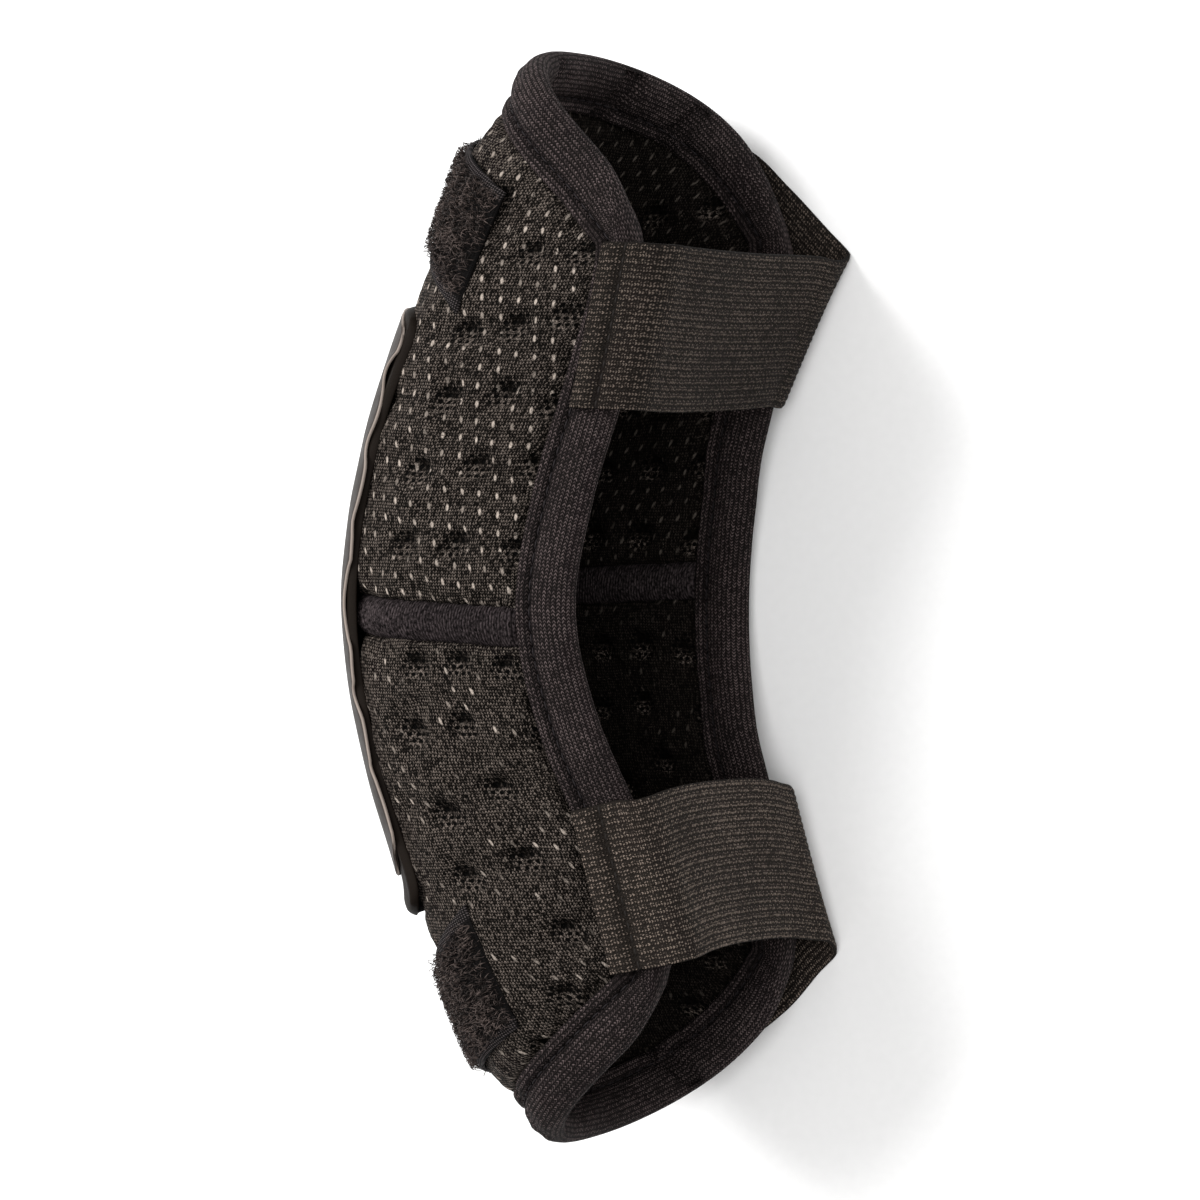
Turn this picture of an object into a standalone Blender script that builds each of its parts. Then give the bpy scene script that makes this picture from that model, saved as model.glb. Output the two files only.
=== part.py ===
"""Elbow guard: a bent, padded half sleeve with a bound edge, a hard cap and two elastic straps.

It lies on its far side: X runs toward the open front, Y along the arm, Z up from the floor.
"""

import math

import bmesh
import bpy
import numpy as np

# Overall sizes
LENGTH = 0.256
DEPTH = 0.0685
WIDTH = 0.084
EDGE_LENGTH = 0.172
SPINE_BEND = 0.050
BACK_ROUND = 0.032
SQUARENESS = 2.5
FAR_BULGE = 0.005
FAR_SAG = 0.0038
MIDDLE_HEIGHT = 0.0485

# Padding
PAD_THICKNESS = 0.0090
FLANGE_THICKNESS = 0.0020
TUFT_DEPTH = 0.0014
BAND_WIDTH = 0.0094
BAND_THICKNESS = 0.0044
BAND_SLANT = 0.0045

# Edge binding
BINDING_WIDTH = 0.0140
BINDING_THICKNESS = 0.0076
BINDING_WALL = 0.0017
CORNER_RADIUS = 0.0160

# Elbow cap
CAP_LENGTH_SHARE = 0.512
CAP_WIDTH = 0.076
CAP_CORNER = 0.009
CAP_BASE_THICKNESS = 0.0014
CAP_FILM_THICKNESS = 0.0008
FILM_INSET = 0.0022
FILM_WAVE = 0.0008
FILM_WAVES = 9
FILM_LIFT = 0.0006

# Loop patches and straps
PATCH_THICKNESS = 0.0016
PATCH_FIRST, PATCH_LAST = 0.490, 0.735
PATCH_NEAR, PATCH_FAR = 0.53, -0.56
PATCH_SWEEP = 0.075
STRAP_WIDTH = 0.038
STRAP_THICKNESS = 0.0016
STRAP_HEM = 0.0100
TAB_THICKNESS = 0.0012
TAB_FIRST, TAB_LAST = 0.560, 0.730
TAB_NEAR, TAB_FAR = -0.27, -0.45

# Clearances
FLANGE_CLEARANCE = 0.0007
HEM_CLEARANCE = 0.0004
BAND_CLEARANCE = 0.0005
SEAT_CLEARANCE = 0.0008
LAYER_CLEARANCE = 0.0004

# Cross-sections from the bottom rim to the top rim. Columns: where the back and the front edge
# stand along the arm (shares of half LENGTH and half EDGE_LENGTH) and forward (shares of
# SPINE_BEND and DEPTH), the width at back and edge (shares of WIDTH), bulge of the far wall
# beyond the near one (share of FAR_BULGE).
SECTIONS = (
    # name, back_along, back_forward, edge_along, edge_forward, back_width, edge_width, bulge
    ("bottom_rim", -0.98, 1.00, -1.00, 1.32, 0.80, 0.74, -0.60),
    ("below_strap", -0.85, 0.74, -0.80, 1.28, 0.88, 0.74, -0.40),
    ("bottom_strap", -0.60, 0.45, -0.55, 1.18, 0.95, 0.78, -0.10),
    ("forearm", -0.30, 0.165, -0.27, 1.05, 0.99, 0.90, 0.00),
    ("elbow", 0.00, 0.035, 0.01, 1.00, 1.00, 1.00, 0.00),
    ("upper_arm", 0.30, 0.15, 0.30, 1.05, 0.99, 0.95, 0.00),
    ("top_strap", 0.60, 0.43, 0.575, 1.15, 0.95, 0.90, 0.20),
    ("above_strap", 0.85, 0.68, 0.82, 1.24, 0.88, 0.90, 0.65),
    ("top_rim", 1.01, 0.91, 1.03, 1.26, 0.80, 0.92, 1.00),
)

# Padding thickness toward a bound side. Columns: distance in from the outer edge, thickness.
PAD_EDGE = (
    # distance, thickness
    (0.0022, FLANGE_THICKNESS),
    (0.0085, FLANGE_THICKNESS),
    (BINDING_WIDTH + HEM_CLEARANCE, FLANGE_THICKNESS),
    (BINDING_WIDTH + 0.0015, 0.60 * PAD_THICKNESS),
    (BINDING_WIDTH + 0.0045, 0.87 * PAD_THICKNESS),
    (BINDING_WIDTH + 0.0100, PAD_THICKNESS),
)

# Padding thickness toward the flex band. Columns: distance in from the pad's end, thickness.
PAD_END = (
    # distance, thickness
    (0.0000, 0.55 * PAD_THICKNESS),
    (0.0012, 0.82 * PAD_THICKNESS),
    (0.0045, PAD_THICKNESS),
)

# Binding cross-section. Columns: distance in from the edge (share of BINDING_WIDTH), distance
# from the middle of the wall (share of half BINDING_THICKNESS).
BINDING_OUTLINE = (
    # inward, outward
    (1.00, 0.78),
    (0.76, 0.62),
    (0.42, 1.00),
    (0.09, 0.68),
    (0.00, 0.00),
    (0.09, -0.68),
    (0.42, -1.00),
    (0.76, -0.62),
    (1.00, -0.78),
)

# Strap paths. Columns: centre of the strap forward (share of DEPTH), along the arm (share of half
# LENGTH) and above the middle plane (share of half WIDTH), turn of its width from the arm line
# and lean of its width out of the flat, both in degrees.
UPPER_STRAP_PATH = (
    # name, forward, along, height, turn, lean
    ("sewn_end", 1.050, 0.508, 1.016, 12, 0),
    ("over_edge", 1.175, 0.506, 1.040, 12, 0),
    ("past_edge", 1.262, 0.503, 0.900, 13, 0),
    ("near_span", 1.278, 0.500, 0.680, 14, 0),
    ("mid_span", 1.282, 0.498, 0.000, 18, 0),
    ("far_span", 1.285, 0.502, -0.760, 22, 0),
    ("fold", 1.275, 0.515, -1.040, 26, 0),
    ("under_edge", 1.210, 0.550, -1.136, 33, 0),
    ("under_front", 1.110, 0.605, -1.136, 40, 0),
    ("under_middle", 0.960, 0.680, -1.136, 37, 0),
    ("under_back", 0.820, 0.720, -1.136, 31, 0),
    ("tab_end", 0.720, 0.735, -1.136, 27, 0),
)
LOWER_STRAP_PATH = (
    # name, forward, along, height, turn, lean
    ("sewn_end", 1.122, -0.507, 0.930, -31, 7),
    ("over_edge", 1.225, -0.496, 0.950, -24, 7),
    ("past_edge", 1.292, -0.488, 0.800, -17, 5),
    ("near_span", 1.296, -0.482, 0.600, -15, 3),
    ("mid_span", 1.285, -0.479, 0.000, -14, 0),
    ("far_span", 1.275, -0.494, -0.760, -13, 0),
    ("fold", 1.262, -0.505, -1.020, -17, 0),
    ("under_edge", 1.200, -0.530, -1.136, -24, 0),
    ("under_front", 1.110, -0.570, -1.136, -32, 0),
    ("under_middle", 0.960, -0.655, -1.136, -35, 0),
    ("under_back", 0.820, -0.710, -1.136, -31, 0),
    ("tab_end", 0.720, -0.730, -1.136, -27, 0),
)

FINE = 121


def smooth_through(knots, values, x):
    """Value at x of a smooth curve through the rows of a table."""
    knots = np.asarray(knots, float)
    values = np.asarray(values, float)
    slopes = np.gradient(values, knots)
    i = min(max(int(np.searchsorted(knots, x)) - 1, 0), len(knots) - 2)
    h = knots[i + 1] - knots[i]
    t = min(max((x - knots[i]) / h, 0.0), 1.0)
    return (
        (2 * t**3 - 3 * t**2 + 1) * values[i]
        + (t**3 - 2 * t**2 + t) * h * slopes[i]
        + (3 * t**2 - 2 * t**3) * values[i + 1]
        + (t**3 - t**2) * h * slopes[i + 1]
    )


def section_line(v, side):
    """Points along one half of the section at v, from the back to the edge, evenly spaced."""
    knots = np.linspace(-1, 1, len(SECTIONS))
    row = [smooth_through(knots, [s[c] for s in SECTIONS], v) for c in range(1, 8)]
    back = np.array([row[1] * SPINE_BEND, row[0] * LENGTH / 2])
    edge = np.array([row[3] * DEPTH, row[2] * EDGE_LENGTH / 2])
    back_half, edge_half = row[4] * WIDTH / 2, row[5] * WIDTH / 2
    depth = np.hypot(*(edge - back))
    forward = (edge - back) / depth
    sideways = np.array([-forward[1], forward[0]])
    turn = np.linspace(0, math.pi / 2, 120)
    run = np.linspace(0, 1, 80)[1:]
    inward = np.concatenate(
        [
            BACK_ROUND * (1 - np.cos(turn) ** (2 / SQUARENESS)),
            BACK_ROUND + (depth - BACK_ROUND) * run,
        ]
    )
    outward = np.concatenate(
        [
            back_half * np.sin(turn) ** (2 / SQUARENESS),
            back_half + (edge_half - back_half) * run * run * (3 - 2 * run),
        ]
    )
    bulge = row[6] * FAR_BULGE * np.sin(math.pi * inward / depth) * (side < 0)
    plan = back + np.outer(inward, forward) + np.outer(bulge, sideways)
    line = np.column_stack([plan, side * outward + MIDDLE_HEIGHT])
    run_length = np.concatenate([[0], np.cumsum(np.linalg.norm(np.diff(line, axis=0), axis=1))])
    even = np.linspace(0, run_length[-1], FINE)
    return np.column_stack([np.interp(even, run_length, line[:, k]) for k in range(3)]), run_length[-1]


def eased(t):
    t = np.clip(t, 0, 1)
    return t * t * (3 - 2 * t)


def far_sag(v, h):
    """How far the far wall sinks toward the floor at the elbow, where the guard lies on it."""
    across = eased((abs(h) - 0.32) / 0.18) * (1 - 0.6 * eased((abs(h) - 0.80) / 0.20))
    return FAR_SAG * eased((0.36 - abs(v)) / 0.16) * across


FINE_V = np.linspace(-1, 1, FINE)
MID_WALL = {}
HALF_GIRTH = {}
RUN_ALONG = {}
for wall_side in (1, -1):
    lines = [section_line(v, wall_side) for v in FINE_V]
    MID_WALL[wall_side] = np.array([line for line, _ in lines])
    if wall_side < 0:
        MID_WALL[wall_side][:, :, 2] -= far_sag(FINE_V[:, None], np.linspace(0, 1, FINE)[None])
    HALF_GIRTH[wall_side] = np.array([length for _, length in lines])
    steps = np.linalg.norm(np.diff(MID_WALL[wall_side], axis=0), axis=2)
    RUN_ALONG[wall_side] = np.concatenate([np.zeros((1, FINE)), np.cumsum(steps, axis=0)])


def wall_point(v, h):
    """Point on the middle of the wall: v from rim to rim, h from the far edge to the near edge."""
    side = 1 if h >= 0 else -1
    across = min(abs(h), 1.0) * (FINE - 1)
    along = (min(max(v, -1.0), 1.0) + 1) / 2 * (FINE - 1)
    i, j = min(int(along), FINE - 2), min(int(across), FINE - 2)
    p, q = along - i, across - j
    table = MID_WALL[side]
    return (
        (1 - p) * (1 - q) * table[i, j]
        + p * (1 - q) * table[i + 1, j]
        + (1 - p) * q * table[i, j + 1]
        + p * q * table[i + 1, j + 1]
    )


def wall_tangents(v, h):
    step = 0.02
    along = wall_point(min(v + step, 1), h) - wall_point(max(v - step, -1), h)
    across = wall_point(v, min(h + step, 1)) - wall_point(v, max(h - step, -1))
    return along / np.linalg.norm(along), across / np.linalg.norm(across)


def off_wall(v, h, outward):
    """Point this far outside the middle of the wall, or inside where outward is negative."""
    along, across = wall_tangents(v, h)
    normal = np.cross(across, along)
    return wall_point(v, h) + outward * normal / np.linalg.norm(normal)


def rested(point):
    """The point, or the spot on the floor above it: padding lies flat where it rests."""
    return np.array([point[0], point[1], max(point[2], 0.0)])


def slant(v, h):
    along, across = wall_tangents(v, h)
    return max(np.linalg.norm(np.cross(along, across)), 0.5)


def v_in_from_rim(end, distance, h):
    runs = RUN_ALONG[1 if h >= 0 else -1][:, int(round(min(abs(h), 1) * (FINE - 1)))]
    distance = distance / slant(end, h)
    return float(np.interp(runs[-1] - distance if end > 0 else distance, runs, FINE_V))


def v_off_middle(distance, h):
    runs = RUN_ALONG[1 if h >= 0 else -1][:, int(round(min(abs(h), 1) * (FINE - 1)))]
    slanted = distance - BAND_SLANT * h
    return float(np.interp(np.interp(0, FINE_V, runs) + slanted, runs, FINE_V))


def h_in_from_edge(side, distance, v):
    girth = float(np.interp(v, FINE_V, HALF_GIRTH[side]))
    return side * (1 - distance / (girth * slant(v, side)))


def rounded_corner(p, q, radius):
    """Turns distances in from two sides into those of the same spot with the corner rounded."""
    if p >= radius or q >= radius:
        return p, q
    x, y = 1 - p / radius, 1 - q / radius
    return radius * (1 - x * math.sqrt(1 - y * y / 2)), radius * (1 - y * math.sqrt(1 - x * x / 2))


def spot_near_rim(end, side, p, q):
    """(v, h) of the spot p in from a rim and q in from an edge."""
    p, q = rounded_corner(p, q, CORNER_RADIUS)
    v = float(end)
    h = float(side)
    for _ in range(4):
        h = h_in_from_edge(side, q, v)
        v = v_in_from_rim(end, p, h)
    return v, h


def material(name, colour, roughness, metallic=0.0):
    made = bpy.data.materials.new(name)
    made.use_nodes = True
    shader = made.node_tree.nodes["Principled BSDF"]
    shader.inputs["Base Color"].default_value = (*colour, 1)
    shader.inputs["Roughness"].default_value = roughness
    shader.inputs["Metallic"].default_value = metallic
    made.diffuse_color = (*colour, 1)
    return made


def solid(name, points, faces, surface):
    """One closed solid with its faces turned outward."""
    mesh = bpy.data.meshes.new(name)
    mesh.from_pydata([tuple(p) for p in points], [], faces)
    shape = bmesh.new()
    shape.from_mesh(mesh)
    bmesh.ops.recalc_face_normals(shape, faces=shape.faces)
    if shape.calc_volume(signed=True) < 0:
        bmesh.ops.reverse_faces(shape, faces=shape.faces)
    shape.to_mesh(mesh)
    shape.free()
    for face in mesh.polygons:
        face.use_smooth = True
    mesh.materials.append(surface)
    made = bpy.data.objects.new(name, mesh)
    bpy.context.scene.collection.objects.link(made)
    return made


def sheet(name, outer, inner, surface):
    """A solid between two grids of points, closed round its sides."""
    rows, columns = len(outer), len(outer[0])
    points = [p for row in outer for p in row] + [p for row in inner for p in row]
    under = rows * columns
    faces = []
    for i in range(rows - 1):
        for j in range(columns - 1):
            a, b = i * columns + j, (i + 1) * columns + j
            faces.append((a, b, b + 1, a + 1))
            faces.append((under + a, under + a + 1, under + b + 1, under + b))
    border = [j for j in range(columns)]
    border += [i * columns + columns - 1 for i in range(1, rows)]
    border += [(rows - 1) * columns + j for j in range(columns - 2, -1, -1)]
    border += [i * columns for i in range(rows - 2, 0, -1)]
    for k, a in enumerate(border):
        b = border[(k + 1) % len(border)]
        faces.append((a, b, under + b, under + a))
    return solid(name, points, faces, surface)


def even_shares(count):
    return [k / count for k in range(1, count)]


def column_list(inner_columns):
    """Grid columns from the far edge to the near edge: (side, distance or share, thickness)."""
    outside = [("edge", distance, thickness) for distance, thickness in PAD_EDGE]
    inside = [("share", 1 - share, PAD_THICKNESS) for share in even_shares(inner_columns)]
    half = outside + inside
    near = [(1, *column) for column in half]
    far = [(-1, *column) for column in half]
    return far + [(1, "share", 0.0, PAD_THICKNESS)] + near[::-1]


def column_h(column, v):
    side, kind, value, _ = column
    if kind == "edge":
        return h_in_from_edge(side, value, v)
    return value * h_in_from_edge(side, PAD_EDGE[-1][0], v)


def pad(name, end, surface):
    """One padded half: a thin flange under the binding, full padding inside it, tufts pulled in."""
    columns = column_list(10)
    rows = [("rim", distance, thickness) for distance, thickness in PAD_EDGE]
    rows += [("share", 1 - share, PAD_THICKNESS) for share in even_shares(13)]
    rows += [("end", distance, thickness) for distance, thickness in PAD_END[::-1]]
    pad_end = BAND_WIDTH / 2 + BAND_CLEARANCE
    outer, inner = [], []
    for i, (kind, value, row_thickness) in enumerate(rows):
        outer.append([])
        inner.append([])
        for j, column in enumerate(columns):
            side = column[0]
            if kind == "rim" and column[1] == "edge":
                v, h = spot_near_rim(end, side, value, column[2])
            else:
                v, h = 0.5 * end, 0.0
                for _ in range(4):
                    h = column_h(column, v)
                    if kind == "rim":
                        v = v_in_from_rim(end, value, h)
                    elif kind == "end":
                        v = v_off_middle(end * (pad_end + value), h)
                    else:
                        first = v_in_from_rim(end, PAD_EDGE[-1][0], h)
                        last = v_off_middle(end * (pad_end + PAD_END[-1][0]), h)
                        v = last + value * (first - last)
            thickness = min(row_thickness, column[3])
            tufted = thickness == PAD_THICKNESS and i % 2 == 0 and j % 4 == (i % 4)
            half = thickness / 2 - (TUFT_DEPTH if tufted else 0)
            outer[-1].append(rested(off_wall(v, h, half)))
            inner[-1].append(off_wall(v, h, -half))
    return sheet(name, outer, inner, surface)


def flex_band(name, surface):
    columns = column_list(10)
    outer, inner = [], []
    for place, rise in ((-1, 0.78), (0, 1.0), (1, 0.78)):
        outer.append([])
        inner.append([])
        for column in columns:
            v = 0.0
            for _ in range(3):
                h = column_h(column, v)
                v = v_off_middle(place * BAND_WIDTH / 2, h)
            half = min(rise * BAND_THICKNESS, column[3]) / 2
            outer[-1].append(rested(off_wall(v, h, half)))
            inner[-1].append(off_wall(v, h, -half))
    return sheet(name, outer, inner, surface)


def binding_stations():
    """Spots round the outer edge as (inset) -> (v, h), going once round."""
    stations = []
    corner = [k / 4 for k in range(1, 4)]
    for side, end, along_edge in ((1, 1, False), (-1, 1, True), (-1, -1, False), (1, -1, True)):
        if along_edge:
            for share in corner[::-1]:
                stations.append(("corner", end, side, False, share))
            stations.append(("corner", end, side, True, 0.0))
            for share in corner:
                stations.append(("corner", end, side, True, share))
            for share in [k / 18 for k in range(19)]:
                stations.append(("edge", side, -end * (2 * share - 1)))
        else:
            for share in corner[::-1]:
                stations.append(("corner", end, side, True, share))
            stations.append(("corner", end, side, False, 0.0))
            for share in corner:
                stations.append(("corner", end, side, False, share))
            for share in [k / 24 for k in range(25)]:
                stations.append(("rim", end, side * (1 - 2 * share)))
    return stations


def station_spot(station, inset):
    """(v, h) of a binding station this far in from the outer edge."""
    kind = station[0]
    if kind == "corner":
        _, end, side, on_edge, share = station
        slid = inset + share * (CORNER_RADIUS - inset)
        p, q = (slid, inset) if on_edge else (inset, slid)
        return spot_near_rim(end, side, p, q)
    if kind == "rim":
        _, end, place = station
        side = 1 if place >= 0 else -1
        v = float(end)
        for _ in range(3):
            h = place * abs(h_in_from_edge(side, CORNER_RADIUS, v))
            v = v_in_from_rim(end, inset, h)
        return v, h
    _, side, place = station
    v = place
    for _ in range(3):
        h = h_in_from_edge(side, inset, v)
        low = v_in_from_rim(-1, CORNER_RADIUS, h)
        high = v_in_from_rim(1, CORNER_RADIUS, h)
        v = (low + high) / 2 + place * (high - low) / 2
    return v, h


def edge_binding(name, surface):
    """A tape folded over the whole outer edge, open inward where the padding's flange sits."""
    profile = [(BINDING_WIDTH * a, BINDING_THICKNESS / 2 * o) for a, o in BINDING_OUTLINE]
    inside = FLANGE_THICKNESS / 2 + FLANGE_CLEARANCE
    profile += [
        (BINDING_WIDTH, -inside),
        (BINDING_WALL, -inside),
        (BINDING_WALL, inside),
        (BINDING_WIDTH, inside),
    ]
    points, faces = [], []
    stations = binding_stations()
    for station in stations:
        for inset, outward in profile:
            v, h = station_spot(station, inset)
            points.append(off_wall(v, h, outward))
    ring = len(profile)
    for i in range(len(stations)):
        after = (i + 1) % len(stations)
        for j in range(ring):
            k = (j + 1) % ring
            faces.append((i * ring + j, after * ring + j, after * ring + k, i * ring + k))
    return solid(name, points, faces, surface)


def patch_on_back(
    name, v_range, h_range, counts, low, thickness, surface, corner=0.0, shape=None, sweep=0.0
):
    """A sheet lying over the outside of the wall, between low and low + thickness from its middle.

    Its inner end bows away from the elbow by sweep at the spine.
    """
    rows, columns = counts
    outer, inner = [], []
    v_mid, h_mid = sum(v_range) / 2, sum(h_range) / 2
    v_half, h_half = (v_range[1] - v_range[0]) / 2, (h_range[1] - h_range[0]) / 2
    girth = float(np.interp(v_mid, FINE_V, HALF_GIRTH[1]))
    for i in range(rows + 1):
        outer.append([])
        inner.append([])
        for j in range(columns + 1):
            a, b = 2 * i / rows - 1, 2 * j / columns - 1
            p, q = (1 - abs(a)) * abs(v_half) * LENGTH / 2, (1 - abs(b)) * abs(h_half) * girth
            inset, lift = shape(a, b) if shape else (0.0, 0.0)
            p, q = rounded_corner(p, q, corner)
            v = v_mid + math.copysign(1, a) * (v_half - (p + inset) / (LENGTH / 2)) * (a != 0)
            h = h_mid + math.copysign(1, b) * (h_half - (q + inset) / girth) * (b != 0)
            inner_share = (1 - a * math.copysign(1, v_mid)) / 2
            v += math.copysign(sweep, v_mid) * inner_share * (1 - (h / h_half) ** 2)
            outer[-1].append(off_wall(v, h, low + thickness + lift))
            inner[-1].append(off_wall(v, h, low + lift))
    return sheet(name, outer, inner, surface)


def film_shape(a, b):
    """Inset and lift of the cap's film: a wavy, slightly lifted rim."""
    rim = max(abs(a), abs(b)) ** 6
    wave = FILM_WAVE * math.sin(math.pi * FILM_WAVES * a) * abs(b) ** 4
    return FILM_INSET * rim + wave, FILM_LIFT * rim * (0.5 + 0.5 * math.cos(math.pi * FILM_WAVES * a))


def strap(name, path, surface):
    """An elastic ribbon along its path, its sewn end folded double."""
    count = 26
    knots = [0.0]
    centres = [np.array([x * DEPTH, y * LENGTH / 2, z * WIDTH / 2]) for _, x, y, z, _, _ in path]
    for a, b in zip(centres, centres[1:]):
        knots.append(knots[-1] + float(np.linalg.norm(b - a)))
    half = STRAP_THICKNESS / 2
    shares = [0, STRAP_HEM / 2 / knots[-1], STRAP_HEM / knots[-1], 1.15 * STRAP_HEM / knots[-1]]
    shares += [shares[-1] + (1 - shares[-1]) * k / count for k in range(1, count + 1)]
    line, widths = [], []
    for share in shares:
        reach = share * knots[-1]
        point = [smooth_through(knots, [c[k] for c in centres], reach) for k in range(3)]
        point[2] = max(point[2] + MIDDLE_HEIGHT, half)
        line.append(np.array(point))
        turn = math.radians(smooth_through(knots, [row[4] for row in path], reach))
        lean = math.radians(smooth_through(knots, [row[5] for row in path], reach))
        flat = math.cos(lean)
        widths.append(np.array([flat * math.sin(turn), flat * math.cos(turn), math.sin(lean)]))
    outer, inner = [], []
    for i, centre in enumerate(line):
        ahead = line[min(i + 1, len(line) - 1)] - line[max(i - 1, 0)]
        normal = np.cross(widths[i], ahead)
        normal *= -1 / np.linalg.norm(normal)
        if centre[2] <= half + 1e-7:
            normal = np.array([0.0, 0.0, -1.0])
        extra = STRAP_THICKNESS if i <= 2 else 0.0
        ends = [centre + side * STRAP_WIDTH / 2 * widths[i] for side in (-1, 0, 1)]
        outer.append([end + (half + extra) * normal for end in ends])
        inner.append([end - half * normal for end in ends])
    return sheet(name, outer, inner, surface)


for old in list(bpy.data.objects):
    bpy.data.objects.remove(old, do_unlink=True)

mesh_cloth = material("charcoal_mesh", (0.018, 0.017, 0.016), 0.85)
rib_cloth = material("black_rib", (0.012, 0.010, 0.012), 0.80)
binding_cloth = material("black_binding", (0.016, 0.014, 0.017), 0.80)
cap_rubber = material("cap_rubber", (0.010, 0.010, 0.011), 0.60)
cap_plastic = material("cap_plastic", (0.060, 0.060, 0.065), 0.45)
loop_cloth = material("loop_pile", (0.012, 0.010, 0.010), 0.95)
elastic = material("black_elastic", (0.022, 0.019, 0.017), 0.80)
hook_plastic = material("hook_plastic", (0.012, 0.012, 0.012), 0.55)

pad("upper_pad", 1, mesh_cloth)
pad("lower_pad", -1, mesh_cloth)
flex_band("flex_band", rib_cloth)
edge_binding("edge_binding", binding_cloth)

pad_face = PAD_THICKNESS / 2
cap_low = pad_face + SEAT_CLEARANCE
cap_h = CAP_WIDTH / 2 / float(np.interp(0, FINE_V, HALF_GIRTH[1]))
cap_span = (-CAP_LENGTH_SHARE, CAP_LENGTH_SHARE)
patch_on_back(
    "cap_base", cap_span, (-cap_h, cap_h), (18, 6), cap_low, CAP_BASE_THICKNESS, cap_rubber, CAP_CORNER
)
patch_on_back(
    "cap_film",
    cap_span,
    (-cap_h, cap_h),
    (36, 6),
    cap_low + CAP_BASE_THICKNESS + LAYER_CLEARANCE,
    CAP_FILM_THICKNESS,
    cap_plastic,
    CAP_CORNER,
    film_shape,
)

tab_low = cap_low + PATCH_THICKNESS + LAYER_CLEARANCE
for word, sign, path in (("upper", 1, UPPER_STRAP_PATH), ("lower", -1, LOWER_STRAP_PATH)):
    patch_span = tuple(sorted((sign * PATCH_FIRST, sign * PATCH_LAST)))
    tab_span = tuple(sorted((sign * TAB_FIRST, sign * TAB_LAST)))
    patch_on_back(
        word + "_loop_patch",
        patch_span,
        (PATCH_FAR, PATCH_NEAR),
        (4, 14),
        cap_low,
        PATCH_THICKNESS,
        loop_cloth,
        sweep=PATCH_SWEEP,
    )
    patch_on_back(
        word + "_hook_tab", tab_span, (TAB_FAR, TAB_NEAR), (3, 4), tab_low, TAB_THICKNESS, hook_plastic
    )
    strap(word + "_strap", path, elastic)

# The box of the whole guard stands centred over the origin.
guard = [made for made in bpy.data.objects if made.type == "MESH"]
corners = np.array([tuple(vertex.co) for made in guard for vertex in made.data.vertices])
low, high = corners.min(axis=0), corners.max(axis=0)
for made in guard:
    for vertex in made.data.vertices:
        vertex.co.x -= (low[0] + high[0]) / 2
        vertex.co.y -= (low[1] + high[1]) / 2
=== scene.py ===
"""Elbow guard, dressed: a bent, padded half sleeve that lies on its far side.

Its back wears a thin film cap, two fuzzy loop patches and an edge binding, and two elastic straps
cross its open front. X runs toward the open front, Y along the arm and Z up from the floor.
"""

import math

import bmesh
import bpy
import numpy as np
from bpy.props import FloatProperty, FloatVectorProperty, IntProperty, PointerProperty
from mathutils import Matrix, Vector, kdtree


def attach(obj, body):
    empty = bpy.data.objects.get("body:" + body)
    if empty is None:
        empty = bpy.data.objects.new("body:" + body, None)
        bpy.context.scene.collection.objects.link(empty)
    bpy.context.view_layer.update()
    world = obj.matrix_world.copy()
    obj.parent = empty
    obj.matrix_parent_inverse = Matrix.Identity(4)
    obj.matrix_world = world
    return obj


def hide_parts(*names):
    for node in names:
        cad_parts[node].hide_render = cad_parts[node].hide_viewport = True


bl_info = {
    "name": "Elbow Guard",
    "version": (1, 0, 0),
    "blender": (4, 5, 0),
    "location": "View3D > Sidebar > Elbow Guard",
    "description": "Builds a padded elbow guard with a film cap, loop patches and elastic straps",
    "category": "Object",
}

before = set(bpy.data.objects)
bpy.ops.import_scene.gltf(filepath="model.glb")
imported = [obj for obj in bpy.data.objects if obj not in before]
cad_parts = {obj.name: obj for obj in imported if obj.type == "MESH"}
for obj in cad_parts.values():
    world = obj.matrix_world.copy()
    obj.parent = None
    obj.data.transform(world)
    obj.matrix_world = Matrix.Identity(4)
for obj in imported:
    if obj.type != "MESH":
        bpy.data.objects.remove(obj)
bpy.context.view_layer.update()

# Sizes of the wall, the same as those of the solids
LENGTH = 0.256
DEPTH = 0.0685
WIDTH = 0.084
EDGE_LENGTH = 0.172
SPINE_BEND = 0.050
BACK_ROUND = 0.032
SQUARENESS = 2.5
FAR_BULGE = 0.005
FAR_SAG = 0.0038
MIDDLE_HEIGHT = 0.0485
CENTRE = np.array([0.04522837, 0.00168990, 0.0])

PAD_THICKNESS = 0.0090
BAND_WIDTH = 0.0094
BAND_SLANT = 0.0475
CORNER_RADIUS = 0.0160
STRAP_WIDTH = 0.038
STRAP_THICKNESS = 0.0016
STRAP_CORDS = 23
SEWN_LENGTH = 0.020
CORD_PITCH = STRAP_WIDTH * 1000 / STRAP_CORDS
SEAT = PAD_THICKNESS / 2 + 0.0008

# Spine to front edge at the elbow, where the padding is fully thick, and what clears the floor
ELBOW_GIRTH = 0.0958
PAD_FULL_IN = 0.024
FLOOR_CLEARANCE = 0.00004

# Loop patches and hook tabs: (v, h) bounds of the patch, centre of the tab
PATCH_FIRST, PATCH_LAST = 0.490, 0.735
PATCH_NEAR, PATCH_FAR = 0.53, -0.56
PATCH_SWEEP = 0.075
TAB_PLACE = (0.645, -0.36)
TAB_SIZE = (0.0160, 0.0208, 0.0011)

# The cap in metres, and how far its film reaches along the arm in millimetres
CAP_HALF_LONG, CAP_HALF_WIDE, CAP_CORNER = 0.0703, 0.0383, 0.0095
FILM_REACH_LOW, FILM_REACH_HIGH = 62.8, 70.3
FILM_INSET_LOW, FILM_INSET_HIGH = 0.0092, 0.0022

# Stitch lines: in from the bound edge, and millimetres in from a strap's sewn end
GROOVE_INSET = 0.01055
SEWN_LINE = 6.2

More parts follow.
